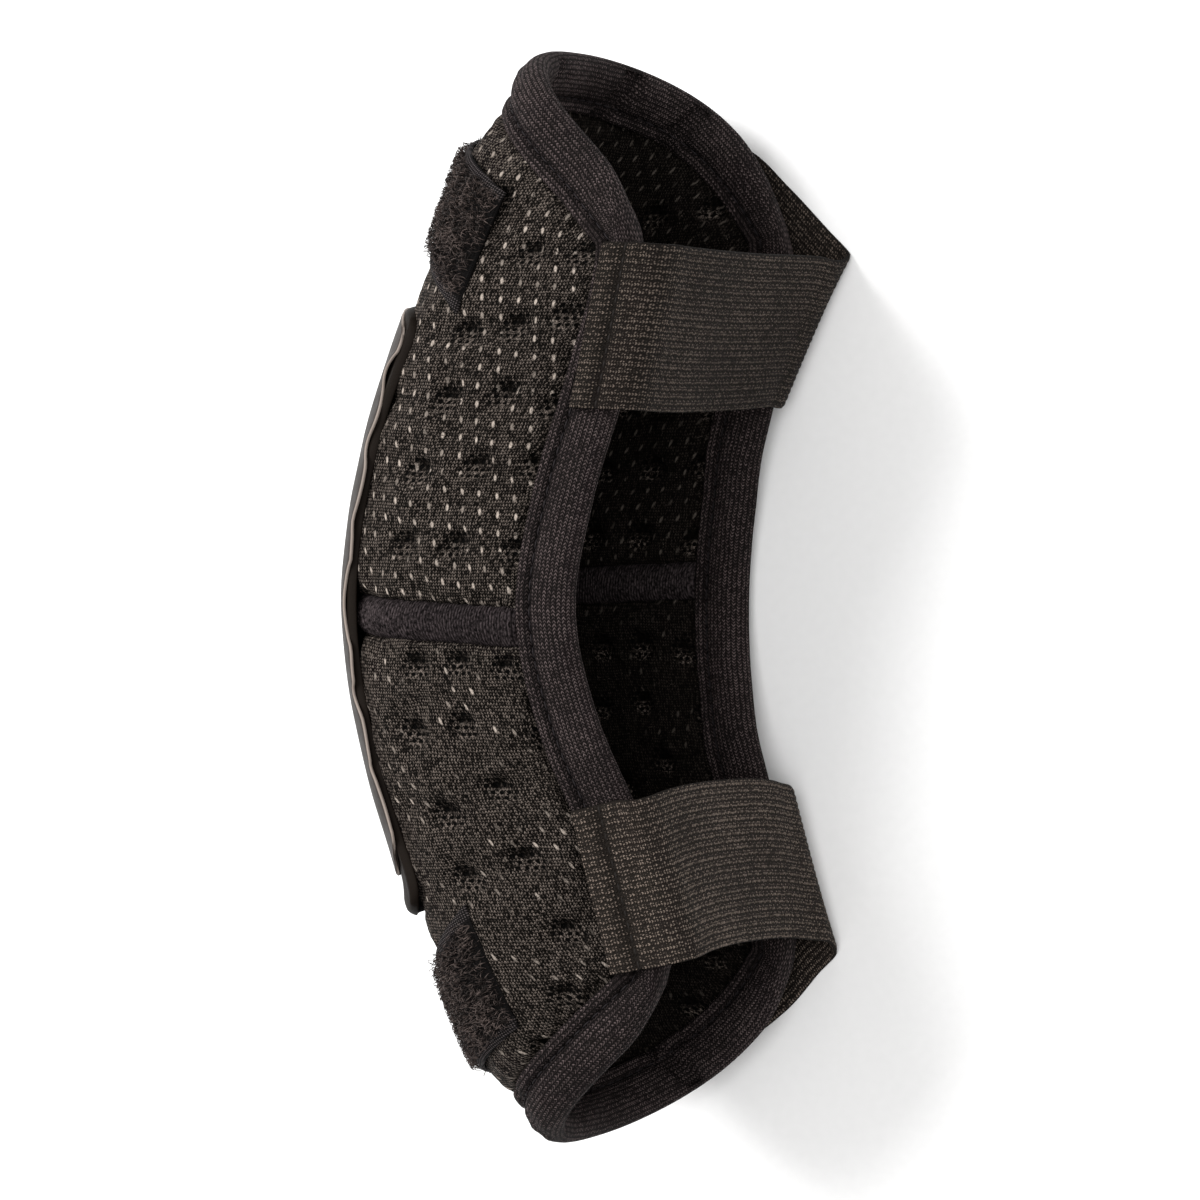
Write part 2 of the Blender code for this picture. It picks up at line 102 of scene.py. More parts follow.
# Cross-sections from the bottom rim to the top rim. Columns: where the back and the front edge
# stand along the arm and forward, the width at back and edge, bulge of the far wall.
SECTIONS = np.array(
    [
        (-0.98, 1.00, -1.00, 1.32, 0.80, 0.74, -0.60),
        (-0.85, 0.74, -0.80, 1.28, 0.88, 0.74, -0.40),
        (-0.60, 0.45, -0.55, 1.18, 0.95, 0.78, -0.10),
        (-0.30, 0.165, -0.27, 1.05, 0.99, 0.90, 0.00),
        (0.00, 0.035, 0.01, 1.00, 1.00, 1.00, 0.00),
        (0.30, 0.15, 0.30, 1.05, 0.99, 0.95, 0.00),
        (0.60, 0.43, 0.575, 1.15, 0.95, 0.90, 0.20),
        (0.85, 0.68, 0.82, 1.24, 0.88, 0.90, 0.65),
        (1.01, 0.91, 1.03, 1.26, 0.80, 0.92, 1.00),
    ]
)

# Strap paths. Columns: centre forward, along the arm and above the middle plane, as shares of
# DEPTH, half LENGTH and half WIDTH, then the turn and the lean of its width in degrees.
UPPER_STRAP_PATH = np.array(
    [
        (1.050, 0.508, 1.016, 12, 0),
        (1.175, 0.506, 1.040, 12, 0),
        (1.262, 0.503, 0.900, 13, 0),
        (1.272, 0.500, 0.680, 14, 0),
        (1.266, 0.498, 0.000, 18, 0),
        (1.260, 0.502, -0.760, 22, 0),
        (1.246, 0.503, -1.040, 26, 0),
        (1.210, 0.525, -1.136, 33, 0),
        (1.110, 0.575, -1.136, 38, 0),
        (0.960, 0.655, -1.136, 36, 0),
        (0.820, 0.720, -1.136, 31, 0),
        (0.720, 0.735, -1.136, 27, 0),
    ]
)
LOWER_STRAP_PATH = np.array(
    [
        (1.050, -0.492, 0.985, -13, 7),
        (1.215, -0.474, 0.965, -14, 7),
        (1.288, -0.463, 0.800, -16, 5),
        (1.290, -0.456, 0.600, -15, 3),
        (1.278, -0.455, 0.000, -14, 0),
        (1.265, -0.478, -0.760, -13, 0),
        (1.252, -0.497, -1.020, -17, 0),
        (1.200, -0.530, -1.136, -24, 0),
        (1.110, -0.570, -1.136, -32, 0),
        (0.960, -0.655, -1.136, -35, 0),
        (0.820, -0.710, -1.136, -31, 0),
        (0.720, -0.730, -1.136, -27, 0),
    ]
)

# Tufts of the padding, in millimetres across from the spine and along from the elbow
UPPER_TUFTS = (
    (51, 65), (61.4, 66.6), (72, 69), (53, 49), (65.5, 50.5), (77.8, 47.6), (52, 32), (65.4, 33.1),
    (79.2, 33.4), (52, 15), (65.1, 15), (80, 13.5), (58, 84), (70, 84), (44, 98), (58, 100),
)
LOWER_TUFTS = (
    (54.8, -12.5), (66, -12), (77.3, -13), (51, -28), (63.6, -26.3), (81.2, -29.5), (66.8, -41.6),
    (83.7, -44.5), (53.3, -47.7), (66.1, -58.7), (51.3, -63.4), (80, -60), (67.6, -76.2),
    (60, -92), (72, -90), (48, -106),
)

# Near edge of the cap's film: millimetres along from the elbow, millimetres across from the spine
FILM_EDGE = np.array(
    [
        (-62, 33.5), (-55.5, 37.0), (-50, 38.3), (-43.5, 38.6), (-37, 37.2), (-31, 39.8), (-25, 37.4),
        (-19.5, 36.4), (-14, 40.2), (-8, 36.6), (-2, 35.6), (5, 36.2), (8, 36.6), (13, 39.6),
        (18, 37.2), (24, 37.8), (30, 38.6), (37, 36.2), (43.5, 37.0), (51, 35.2), (55, 33.2), (61, 36.2),
    ]
)

# Creases across the edge binding. Columns: top or bottom rim, where between the far edge and the
# near edge, width and depth in millimetres.
BINDING_CREASES = (
    (1, -0.24, 2.2, 4.4),
    (1, -0.32, 3.0, -1.0),
    (1, -0.49, 2.2, 3.6),
    (1, 0.16, 1.8, 0.9),
    (-1, -0.42, 1.8, 4.2),
    (-1, -0.49, 2.6, -0.8),
    (-1, 0.30, 1.5, 0.7),
)

ROWS = 241
HALF = 161


def smooth_through(knots, values, x):
    """Values at x of a smooth curve through the rows of a table."""
    knots, values, x = (np.asarray(a, float) for a in (knots, values, x))
    slopes = np.gradient(values, knots, axis=0)
    i = np.clip(np.searchsorted(knots, x) - 1, 0, len(knots) - 2)
    h = knots[i + 1] - knots[i]
    t = np.clip((x - knots[i]) / h, 0, 1)
    if values.ndim > 1:
        h, t = h[..., None], t[..., None]
    return (
        (2 * t**3 - 3 * t**2 + 1) * values[i]
        + (t**3 - 2 * t**2 + t) * h * slopes[i]
        + (3 * t**2 - 2 * t**3) * values[i + 1]
        + (t**3 - t**2) * h * slopes[i + 1]
    )


def unit(vectors):
    """The vectors at length 1."""
    return vectors / np.linalg.norm(vectors, axis=-1, keepdims=True)


def reach_along(line):
    """Distance along a line of points, at each of them."""
    return np.concatenate([[0], np.cumsum(np.linalg.norm(np.diff(line, axis=0), axis=1))])


def spots_along(line, reach, at):
    """Points of a line at these distances along it."""
    return np.column_stack([np.interp(at, reach, line[:, k]) for k in range(3)])


def section_line(row, side):
    """Evenly spaced points along one half of a section, from the back to the edge."""
    back = np.array([row[1] * SPINE_BEND, row[0] * LENGTH / 2])
    edge = np.array([row[3] * DEPTH, row[2] * EDGE_LENGTH / 2])
    back_half, edge_half = row[4] * WIDTH / 2, row[5] * WIDTH / 2
    depth = np.hypot(*(edge - back))
    forward = (edge - back) / depth
    sideways = np.array([-forward[1], forward[0]])
    turn = np.linspace(0, math.pi / 2, 240)
    run = np.linspace(0, 1, 160)[1:]
    bend = BACK_ROUND * (1 - np.cos(turn) ** (2 / SQUARENESS))
    inward = np.concatenate([bend, BACK_ROUND + (depth - BACK_ROUND) * run])
    wide = back_half * np.sin(turn) ** (2 / SQUARENESS)
    ease = run * run * (3 - 2 * run)
    outward = np.concatenate([wide, back_half + (edge_half - back_half) * ease])
    bulge = row[6] * FAR_BULGE * np.sin(math.pi * inward / depth) * (side < 0)
    plan = back + np.outer(inward, forward) + np.outer(bulge, sideways)
    line = np.column_stack([plan, side * outward + MIDDLE_HEIGHT])
    reach = reach_along(line)
    return spots_along(line, reach, np.linspace(0, reach[-1], HALF)), reach[-1]


def eased(t):
    """0 below 0, 1 above 1 and smooth between them."""
    t = np.clip(t, 0, 1)
    return t * t * (3 - 2 * t)


def far_sag(v, h):
    """How far the far wall sinks toward the floor at the elbow, where the guard lies on it."""
    across = eased((abs(h) - 0.32) / 0.18) * (1 - 0.6 * eased((abs(h) - 0.80) / 0.20)) * (h < 0)
    return FAR_SAG * eased((0.36 - abs(v)) / 0.16) * across


LINE_V = np.linspace(-1, 1, ROWS)
SECTION_ROWS = smooth_through(np.linspace(-1, 1, len(SECTIONS)), SECTIONS, LINE_V)
NEAR_LINES = [section_line(row, 1) for row in SECTION_ROWS]
FAR_LINES = [section_line(row, -1) for row in SECTION_ROWS]
WALL = np.array([np.concatenate([f[0][:0:-1], n[0]]) for f, n in zip(FAR_LINES, NEAR_LINES)]) - CENTRE
WALL[:, :, 2] -= far_sag(LINE_V[:, None], np.linspace(-1, 1, 2 * HALF - 1)[None])
GIRTH = np.array([[f[1], n[1]] for f, n in zip(FAR_LINES, NEAR_LINES)])
ALONG = np.gradient(WALL, axis=0)
ACROSS = np.gradient(WALL, axis=1)
NORMAL = np.cross(ACROSS, ALONG)
SLANT = np.linalg.norm(NORMAL, axis=2)
SLANT /= np.linalg.norm(ALONG, axis=2) * np.linalg.norm(ACROSS, axis=2)
SLANT = np.maximum(SLANT, 0.5)
NORMAL = unit(NORMAL)
WALL_STEPS = np.linalg.norm(np.diff(WALL, axis=0), axis=2)
RUN = np.concatenate([np.zeros((1, 2 * HALF - 1)), np.cumsum(WALL_STEPS, axis=0)])
RUN -= RUN[ROWS // 2]


def look_up(table, v, h):
    """Values of a wall table at v, from rim to rim, and h, from the far edge to the near edge."""
    a = (np.clip(v, -1, 1) + 1) / 2 * (ROWS - 1)
    b = (np.clip(h, -1, 1) + 1) / 2 * (2 * HALF - 2)
    i = np.minimum(a.astype(int), ROWS - 2)
    j = np.minimum(b.astype(int), 2 * HALF - 3)
    p, q = a - i, b - j
    if table.ndim == 3:
        p, q = p[..., None], q[..., None]
    low = (1 - q) * table[i, j] + q * table[i, j + 1]
    high = (1 - q) * table[i + 1, j] + q * table[i + 1, j + 1]
    return (1 - p) * low + p * high


def girth(side, v):
    """Length of half a section from the spine to its edge."""
    near = np.interp(v, LINE_V, GIRTH[:, 1])
    return np.where(np.asarray(side) >= 0, near, np.interp(v, LINE_V, GIRTH[:, 0]))


def off_wall(v, h, outward):
    """Points this far outside the middle of the wall, or inside it where outward is negative."""
    return look_up(WALL, v, h) + np.asarray(outward, float)[..., None] * unit(look_up(NORMAL, v, h))


def band_run(run, h):
    """The same distance along the wall, counted from the slanting middle of the flex band."""
    return run - BAND_SLANT * h * ELBOW_GIRTH


def v_at(run, h):
    """v of the spot this far along the wall from the elbow."""
    shape = np.broadcast(run, h).shape
    run = np.broadcast_to(run, shape).ravel()
    b = (np.clip(np.broadcast_to(h, shape).ravel(), -1, 1) + 1) / 2 * (2 * HALF - 2)
    j = np.minimum(b.astype(int), 2 * HALF - 3)
    columns = RUN[:, j] * (1 - (b - j)) + RUN[:, j + 1] * (b - j)
    k = np.clip((columns <= run).sum(axis=0) - 1, 0, ROWS - 2)
    each = np.arange(len(run))
    low, high = columns[k, each], columns[k + 1, each]
    v = LINE_V[k] + (run - low) / (high - low) * (LINE_V[1] - LINE_V[0])
    return np.clip(v, -1, 1).reshape(shape)


def laid_flat(x, y):
    """(v, h) of spots x across from the spine and y along from the elbow."""
    x, y = np.broadcast_arrays(np.asarray(x, float), np.asarray(y, float))
    v = np.zeros_like(x)
    h = x / girth(x, v)
    for _ in range(5):
        v = v_at(y, h)
        h = np.clip(x / girth(x, v), -1, 1)
    return v, h


def flat_spot(v, h):
    """Metres across from the spine and along from the elbow of spots on the wall."""
    return h * girth(h, v), look_up(RUN, v, h)


def rounded_corner(p, q, radius):
    """Turns distances in from two sides into those of the same spot with the corner rounded."""
    x = np.clip(1 - p / radius, 0, 1)
    y = np.clip(1 - q / radius, 0, 1)
    inside = (p >= radius) | (q >= radius)
    round_p = radius * (1 - x * np.sqrt(1 - y * y / 2))
    round_q = radius * (1 - y * np.sqrt(1 - x * x / 2))
    return np.where(inside, p, round_p), np.where(inside, q, round_q)


def in_from_rim(end, distance, h):
    """v of spots this far in from one rim."""
    ends = np.full(np.shape(h), float(end))
    rim = look_up(RUN, ends, h)
    return v_at(rim - end * distance / look_up(SLANT, ends, h), h)


def in_from_edge(side, distance, v):
    """h of spots this far in from one front edge."""
    ends = np.broadcast_to(np.asarray(side, float), np.shape(v))
    return ends * (1 - distance / (girth(ends, v) * look_up(SLANT, v, ends)))


def spot_near_rim(end, side, p, q):
    """(v, h) of spots p in from a rim and q in from an edge, round the corner between them."""
    p, q = rounded_corner(p, q, CORNER_RADIUS)
    v = np.full(np.shape(p), float(end))
    for _ in range(4):
        h = in_from_edge(side, q, v)
        v = in_from_rim(end, p, h)
    return v, h


# Making pieces


def grid_faces(rows, columns, start=0):
    """Quads of a grid of points, numbered from start."""
    a = (np.arange(rows - 1)[:, None] * columns + np.arange(columns - 1)[None]).ravel()
    b = a + columns
    return np.column_stack([a, b, b + 1, a + 1]) + start


def shown(name, mesh, finish):
    """The mesh as a smooth piece of the scene, in this finish."""
    mesh.polygons.foreach_set("use_smooth", np.ones(len(mesh.polygons), bool))
    mesh.materials.append(finish)
    piece = bpy.data.objects.new(name, mesh)
    bpy.context.scene.collection.objects.link(piece)
    return piece


def put_together(name, points, faces, finish, weave=None):
    """A smooth piece whose faces point outward, with its cloth coordinates kept in millimetres."""
    mesh = bpy.data.meshes.new(name)
    mesh.from_pydata(np.asarray(points).tolist(), [], np.asarray(faces).tolist())
    if weave is not None:
        kept = mesh.attributes.new("weave", "FLOAT_VECTOR", "POINT")
        kept.data.foreach_set("vector", np.asarray(weave, np.float32).ravel())
    shape = bmesh.new()
    shape.from_mesh(mesh)
    bmesh.ops.recalc_face_normals(shape, faces=shape.faces)
    if shape.calc_volume(signed=True) < 0:
        bmesh.ops.reverse_faces(shape, faces=shape.faces)
    shape.to_mesh(mesh)
    shape.free()
    return shown(name, mesh, finish)


def two_layers(name, outer, inner, finish, weave=None):
    """A closed piece between two grids of points of the same size."""
    rows, columns = outer.shape[:2]
    under = rows * columns
    faces = grid_faces(rows, columns)
    below = grid_faces(rows, columns, under)[:, ::-1]
    index = np.arange(under).reshape(rows, columns)
    border = np.concatenate([index[0], index[1:, -1], index[-1, -2::-1], index[-2:0:-1, 0]])
    after = np.roll(border, -1)
    sides = np.column_stack([border, after, under + after, under + border])
    points = np.concatenate([outer.reshape(-1, 3), inner.reshape(-1, 3)])
    if weave is not None:
        weave = np.concatenate([weave.reshape(-1, 3), weave.reshape(-1, 3)])
    return put_together(name, points, np.concatenate([faces, below, sides]), finish, weave)


def points_of(mesh):
    """The mesh's points, a row each."""
    points = np.empty(len(mesh.vertices) * 3)
    mesh.vertices.foreach_get("co", points)
    return points.reshape(-1, 3)


def lone(piece):
    """The piece is the only one selected, and the active one."""
    bpy.ops.object.select_all(action="DESELECT")
    piece.select_set(True)
    bpy.context.view_layer.objects.active = piece


def apply_all(piece):
    """Applies the piece's modifiers."""
    lone(piece)
    for modifier in list(piece.modifiers):
        bpy.ops.object.modifier_apply(modifier=modifier.name)


def many_copies(name, master, places, finish):
    """One piece made of copies of the master's mesh, each under its own 4 x 4 place."""
    points = np.array([tuple(vertex.co) for vertex in master.data.vertices])
    faces = [tuple(face.vertices) for face in master.data.polygons]
    flat = np.column_stack([points, np.ones(len(points))])
    all_points = np.einsum("nij,mj->nmi", np.asarray(places), flat)[..., :3].reshape(-1, 3)
    all_faces = []
    for copy in range(len(places)):
        start = copy * len(points)
        all_faces += [tuple(start + corner for corner in face) for face in faces]
    mesh = bpy.data.meshes.new(name)
    mesh.from_pydata(all_points.tolist(), [], all_faces)
    bpy.data.objects.remove(master, do_unlink=True)
    return shown(name, mesh, finish)


def places_on(points, along, normals):
    """4 x 4 places whose x axis follows along and whose z axis follows normals."""
    along = unit(along)
    side = unit(np.cross(normals, along))
    up = np.cross(along, side)
    places = np.zeros((len(points), 4, 4))
    places[:, :3, 0], places[:, :3, 1], places[:, :3, 2] = along, side, up
    places[:, :3, 3] = points
    places[:, 3, 3] = 1
    return places


def stitch_master(length, thickness):
    """One thread stitch along x, half sunk at its ends."""
    bpy.ops.object.select_all(action="DESELECT")
    bpy.ops.mesh.primitive_cylinder_add(vertices=6, radius=thickness / 2, depth=length)
    piece = bpy.context.object
    bpy.ops.object.mode_set(mode="EDIT")
    bpy.ops.mesh.select_all(action="SELECT")
    bpy.ops.transform.rotate(value=math.pi / 2, orient_axis="Y", center_override=(0, 0, 0))
    bpy.ops.object.mode_set(mode="OBJECT")
    shape = bmesh.new()
    shape.from_mesh(piece.data)
    long_edges = [e for e in shape.edges if abs(e.verts[0].co.x - e.verts[1].co.x) > length / 2]
    bmesh.ops.subdivide_edges(shape, edges=long_edges, cuts=2, use_grid_fill=True)
    for vertex in shape.verts:
        share = abs(vertex.co.x) / (length / 2)
        vertex.co.z -= thickness * 0.55 * share**2
        if share > 0.9:
            vertex.co.y *= 0.6
            vertex.co.z = -thickness * 0.55 + (vertex.co.z + thickness * 0.55) * 0.6
    shape.to_mesh(piece.data)
    shape.free()
    return piece


def noise_field(x, y, size, seed):
    """Smooth noise between -1 and 1 over spots in metres, with bumps about this size."""
    chance = np.random.default_rng(seed)
    total = np.zeros_like(x)
    for octave in range(10):
        angle = chance.uniform(0, 2 * math.pi)
        wave = 2 * math.pi / (size * chance.uniform(0.7, 1.6))
        phase = chance.uniform(0, 2 * math.pi)
        warp = 0.8 * np.sin(x * wave * 0.37 + octave) + 0.8 * np.sin(y * wave * 0.31 - octave)
        total += np.sin(wave * (math.cos(angle) * x + math.sin(angle) * y) + phase + warp)
    return total / 10**0.5 / 1.4


# Materials


class Value:
    """A socket of a material that is used in sums like a number."""

    def __init__(self, finish, socket):
        self.finish = finish
        self.socket = socket

    def __add__(self, other):
        return self.finish.math("ADD", self, other)

    __radd__ = __add__

    def __sub__(self, other):
        return self.finish.math("SUBTRACT", self, other)

    def __rsub__(self, other):
        return self.finish.math("SUBTRACT", other, self)

    def __mul__(self, other):
        return self.finish.math("MULTIPLY", self, other)

    __rmul__ = __mul__

    def __truediv__(self, other):
        return self.finish.math("DIVIDE", self, other)

    def __pow__(self, other):
        return self.finish.math("POWER", self, other)

    def __abs__(self):
        return self.finish.math("ABSOLUTE", self)


class Finish:
    """A material whose nodes are made one call at a time."""

    def __init__(self, name, roughness, specular):
        self.material = bpy.data.materials.new(name)
        self.material.use_nodes = True
        self.tree = self.material.node_tree
        self.shader = self.tree.nodes["Principled BSDF"]
        self.shader.inputs["Roughness"].default_value = roughness
        self.shader.inputs["Specular IOR Level"].default_value = specular

    def node(self, kind, settings=None, inputs=None, output=0):
        """A node with its settings, and the values or links of its sockets."""
        made = self.tree.nodes.new(kind)
        for key, value in (settings or {}).items():
            setattr(made, key, value)
        for key, value in (inputs or {}).items():
            socket = made.inputs[key]
            if isinstance(value, Value):
                self.tree.links.new(value.socket, socket)
            else:
                socket.default_value = value
        return Value(self, made.outputs[output])

    def math(self, operation, *values):
        """One sum of sockets and numbers."""
        return self.node("ShaderNodeMath", {"operation": operation}, dict(enumerate(values)))

    def between(self, value, low, high):
        """0 below low, 1 above high, smooth between them."""
        return self.node(
            "ShaderNodeMapRange",
            {"interpolation_type": "SMOOTHSTEP"},
            {"Value": value, "From Min": low, "From Max": high},
        )

    def fract(self, value):
        """What is left over whole numbers."""
        return self.math("FRACT", value)

    def floor(self, value):
        """The whole number below."""
        return self.math("FLOOR", value)

    def vector(self, x, y, z=0.0):
        """Three numbers joined into one vector."""
        return self.node("ShaderNodeCombineXYZ", None, {"X": x, "Y": y, "Z": z})

    def attribute(self, name):
        """The three numbers that the piece keeps at each point under this name."""
        kept = self.tree.nodes.new("ShaderNodeAttribute")
        kept.attribute_name = name
        split = self.tree.nodes.new("ShaderNodeSeparateXYZ")
        self.tree.links.new(kept.outputs["Vector"], split.inputs[0])
        return [Value(self, split.outputs[k]) for k in range(3)]

    def place(self):
        """Where the point lies on its own piece."""
        return self.node("ShaderNodeTexCoord", None, None, "Object")

    def noise(self, where, scale, detail=2.0, roughness=0.5):
        """Smooth noise between 0 and 1."""
        return self.node(
            "ShaderNodeTexNoise",
            None,
            {"Vector": where, "Scale": scale, "Detail": detail, "Roughness": roughness},
            "Fac",
        )

    def chance(self, x, y, z=0.0):
        """A number from 0 to 1, the same all over one cell."""
        where = self.vector(x, y, z)
        return self.node("ShaderNodeTexWhiteNoise", {"noise_dimensions": "3D"}, {"Vector": where}, "Value")

    def blend(self, factor, a, b):
        """Colour between a, at 0, and b, at 1."""
        colours = [c if isinstance(c, Value) else (*c, 1) for c in (a, b)]
        return self.node(
            "ShaderNodeMix",
            {"data_type": "RGBA", "clamp_factor": True},
            {0: factor, 6: colours[0], 7: colours[1]},
            2,
        )

    def wear(self, colour, height, depth, strength=1.0, roughness=None):
        """Connects the colour, and a bump this deep, to the shader."""
        self.tree.links.new(colour.socket, self.shader.inputs["Base Color"])
        if roughness is not None:
            self.tree.links.new(roughness.socket, self.shader.inputs["Roughness"])
        bump = self.node(
            "ShaderNodeBump", None, {"Strength": strength, "Distance": depth, "Height": height}, "Normal"
        )
        self.tree.links.new(bump.socket, self.shader.inputs["Normal"])
        return self.material


def knit_rows(finish, u, w, lean=1.3):
    """Height of a knit of V-shaped loops in columns one unit of u wide, and its loop's own number."""
    across = abs(finish.fract(u) - 0.5)
    along = w + across * lean
    strand = 1 - abs(finish.fract(along) - 0.5) * 2
    column = 1 - (across * 2) ** 4.0 * 0.75
    own = finish.chance(finish.floor(u * 2), finish.floor(along), 4.0)
    return (0.35 + strand * 0.65) * column, own


def mesh_knit(name, dark, light, dot, dots_shown, fuzz, seed):
    """Spacer mesh: a fine knit with pale slots in slanting rows, and open net at the tufts, with painted
    shade in the dents above the tufts and on the inner side.
    """
    made = Finish(name, 0.8, specular=0.045)
    x, y, _ = made.attribute("weave")
    # Painted shade: the third number of tuft marks the inner side, whose knit and slots are darkened as the
    # shade inside the guard.
    tuft_x, tuft_y, painted_inner_shade = made.attribute("tuft")
    drift = made.noise(made.vector(x, y, seed), 0.16, 3.0) - 0.5
    height, own = knit_rows(made, x / 0.66 + drift * 0.9, y / 0.72 + drift * 1.3)
    fine = made.noise(made.vector(x, y, seed + 3.0), 2.4, 3.0, 0.65)
    thread = height * (0.45 + own * 0.65) + (fine - 0.5) * fuzz
    pitch = 4.1
    row = made.floor(y / pitch + x * 0.03)
    shift = row * 0.36
    a = made.fract(x / pitch + shift + drift * 0.12) - 0.5
    b = made.fract(y / pitch + x * 0.03 + drift * 0.12) - 0.5
    away = made.math("SQRT", ((a + b * 0.25) * pitch / 0.42) ** 2.0 + (b * pitch / 0.90) ** 2.0)
    lit = made.chance(made.floor(x / pitch + shift), row, seed + 9.0)
    worn = made.noise(made.vector(x, y, seed + 5.0), 0.10, 2.0)
    slot = made.between(away, 1.1, 0.5) * (made.between(lit, 0.0, 0.6) * 0.55 + 0.45)
    slot = slot * made.between(worn, 0.62 - dots_shown, 0.80 - dots_shown)
    # Painted shade: a dark patch over the dent just above each tuft, which also hides the pale slots there.
    dent = made.math("SQRT", (tuft_x / 2.9) ** 2.0 + ((tuft_y - 1.2) / 1.9) ** 2.0)
    ragged = fine * 0.9 - 0.45
    dent = made.between(dent + ragged, 1.05, 0.25)
    open_net = made.math("SQRT", (tuft_x / 3.2) ** 2.0 + ((tuft_y + 1.9) / 2.3) ** 2.0)
    open_net = made.between(open_net + ragged, 1.05, 0.55)
    p = made.floor(tuft_y / 1.5)
    hole_x = made.fract(tuft_x / 1.7 + p * 0.5) - 0.5 + drift * 0.4
    hole_y = made.fract(tuft_y / 1.5) - 0.5
    hole_away = made.math("SQRT", hole_x * hole_x + hole_y * hole_y)
    near_tuft = made.math("SQRT", tuft_x * tuft_x + tuft_y * tuft_y)
    pinhole = made.between(hole_away, 0.34, 0.20) * made.between(near_tuft, 4.4, 3.2)
    strands = made.between(made.noise(made.vector(x, y, seed + 6.0), 1.5, 3.0, 0.7), 0.50, 0.62)
    shade = made.between(thread, 0.22, 0.92) * (1 - painted_inner_shade * 0.55)
    colour = made.blend(shade * shade * (1 - dent * 0.85), dark, light)
    slot = slot * (1 - dent) * (1 - open_net) * (1 - painted_inner_shade * 0.8)
    colour = made.blend(open_net * strands * 0.7, colour, tuple(min(1.0, c * 1.5) for c in light))
    colour = made.blend(slot, colour, dot)
    colour = made.blend(pinhole, colour, (0.0008, 0.0006, 0.0005))
    relief = thread * 0.6 + slot * 0.4 - pinhole * 1.6 + open_net * strands * 0.5
    return made.wear(colour, relief, 0.0006, 1.0)


def binding_knit(name, dark, light):
    """Warp knit of the binding: small V-shaped loops in columns along the edge, with painted shade in its
    groove and creases.
    """
    made = Finish(name, 0.8, specular=0.045)
    x, y, groove = made.attribute("weave")
    drift = made.noise(made.vector(x, y, 2.0), 0.12, 2.0) - 0.5
    height, own = knit_rows(made, y / 1.15 + drift * 0.3, x / 0.80 + drift * 0.8, 1.7)
    fine = made.noise(made.vector(x, y, 7.0), 2.0, 3.0, 0.65)
    thread = height * (0.62 + own * 0.4) + (fine - 0.5) * 0.4
    patchy = made.noise(made.place(), 55.0, 3.0) - 0.5
    shade = made.between(thread + patchy * 0.3, 0.28, 0.98)
    colour = made.blend(shade * shade, dark, light)
    # Painted shade: the colour goes dark in the stitched groove and in the pinched creases.
    colour = made.blend(groove * 0.8, colour, tuple(c * 0.25 for c in dark))
    return made.wear(colour, thread, 0.0005, 1.0)


def rib_knit(name, dark, light):
    """Stretch rib of the flex band: its ribs are in the shape, its threads and the painted shade in the
    valleys between them are here.
    """
    made = Finish(name, 0.8, specular=0.045)
    x, y, valley_shade = made.attribute("weave")
    fine = made.noise(made.vector(x, y * 0.45, 3.0), 2.6, 3.0, 0.65)
    shade = made.between(fine, 0.34, 0.70) * (1 - valley_shade * 0.97)
    colour = made.blend(shade, dark, light)
    return made.wear(colour, shade, 0.0003, 1.0)


def elastic_weave(name, dark, light, seed):
    """Woven elastic: cords along the strap wrapped by slanting threads, with painted shade between the cords
    and along the sewn line.
    """
    made = Finish(name, 0.75, specular=0.06)
    x, y, hem = made.attribute("weave")
    drift = made.noise(made.vector(x, y, seed), 0.10, 2.0) - 0.5
    zigzag = abs(made.fract(x / 2.1 + drift) - 0.5) * 0.55
    # Painted shade: the colour darkens in the zigzag valleys between the cords, which also sink the bump.
    valley_shade = made.between(abs(made.fract(y / CORD_PITCH + zigzag) - 0.5), 0.20, 0.03)
    height, own = knit_rows(made, y / CORD_PITCH * 2, x / 0.72 + drift * 0.5, 0.8)
    fine = made.noise(made.vector(x, y, seed + 2.0), 2.2, 3.0, 0.65)
    # Painted shade: hem is the sewn line, where the thread is lowered, darkening the colour in the stitch dip
    # and sinking the bump.
    thread = height * (0.5 + own * 0.6) * (1 - valley_shade * 0.7) + (fine - 0.5) * 0.45 - hem
    wide = made.noise(made.place(), 40.0, 2.0) - 0.5
    shade = made.between(thread + wide * 0.25, 0.22, 0.92)
    colour = made.blend(shade * shade, dark, light)
    return made.wear(colour, thread, 0.0005, 1.0)


def film_finish(name, base, pale):
    """Thin film of the cap: satin plastic over fine slanting threads."""
    made = Finish(name, 0.5, specular=0.11)
    x, y, rim = made.attribute("weave")
    threads = 1 - abs(made.fract((x + y) / 0.9) - 0.5) * 2
    cross = 1 - abs(made.fract((x - y) / 0.9) - 0.5) * 2
    scuffs = made.noise(made.vector(x, y, 1.0), 0.35, 4.0, 0.6)
    body = made.blend(threads * 0.25 + scuffs * 0.55, tuple(c * 0.6 for c in base), base)
    body = made.blend(cross * 0.15, body, tuple(c * 1.35 for c in base))
    colour = made.blend(made.between(rim, 0.35, 0.85), body, pale)
    rough = 0.42 + scuffs * 0.3
    return made.wear(colour, threads * 0.3 + scuffs * 0.7, 0.00012, 0.6, rough)


def rubber_finish(name, base):
    """Soft matt rubber with a fine grain."""
    made = Finish(name, 0.65, specular=0.04)
    grain = made.noise(made.place(), 2600.0, 2.0, 0.6)
    worn = made.noise(made.place(), 90.0, 3.0)
    colour = made.blend(grain * 0.5 + worn * 0.5, tuple(c * 0.45 for c in base), tuple(c * 1.5 for c in base))
    return made.wear(colour, grain, 0.00010, 0.7, 0.5 + worn * 0.25)


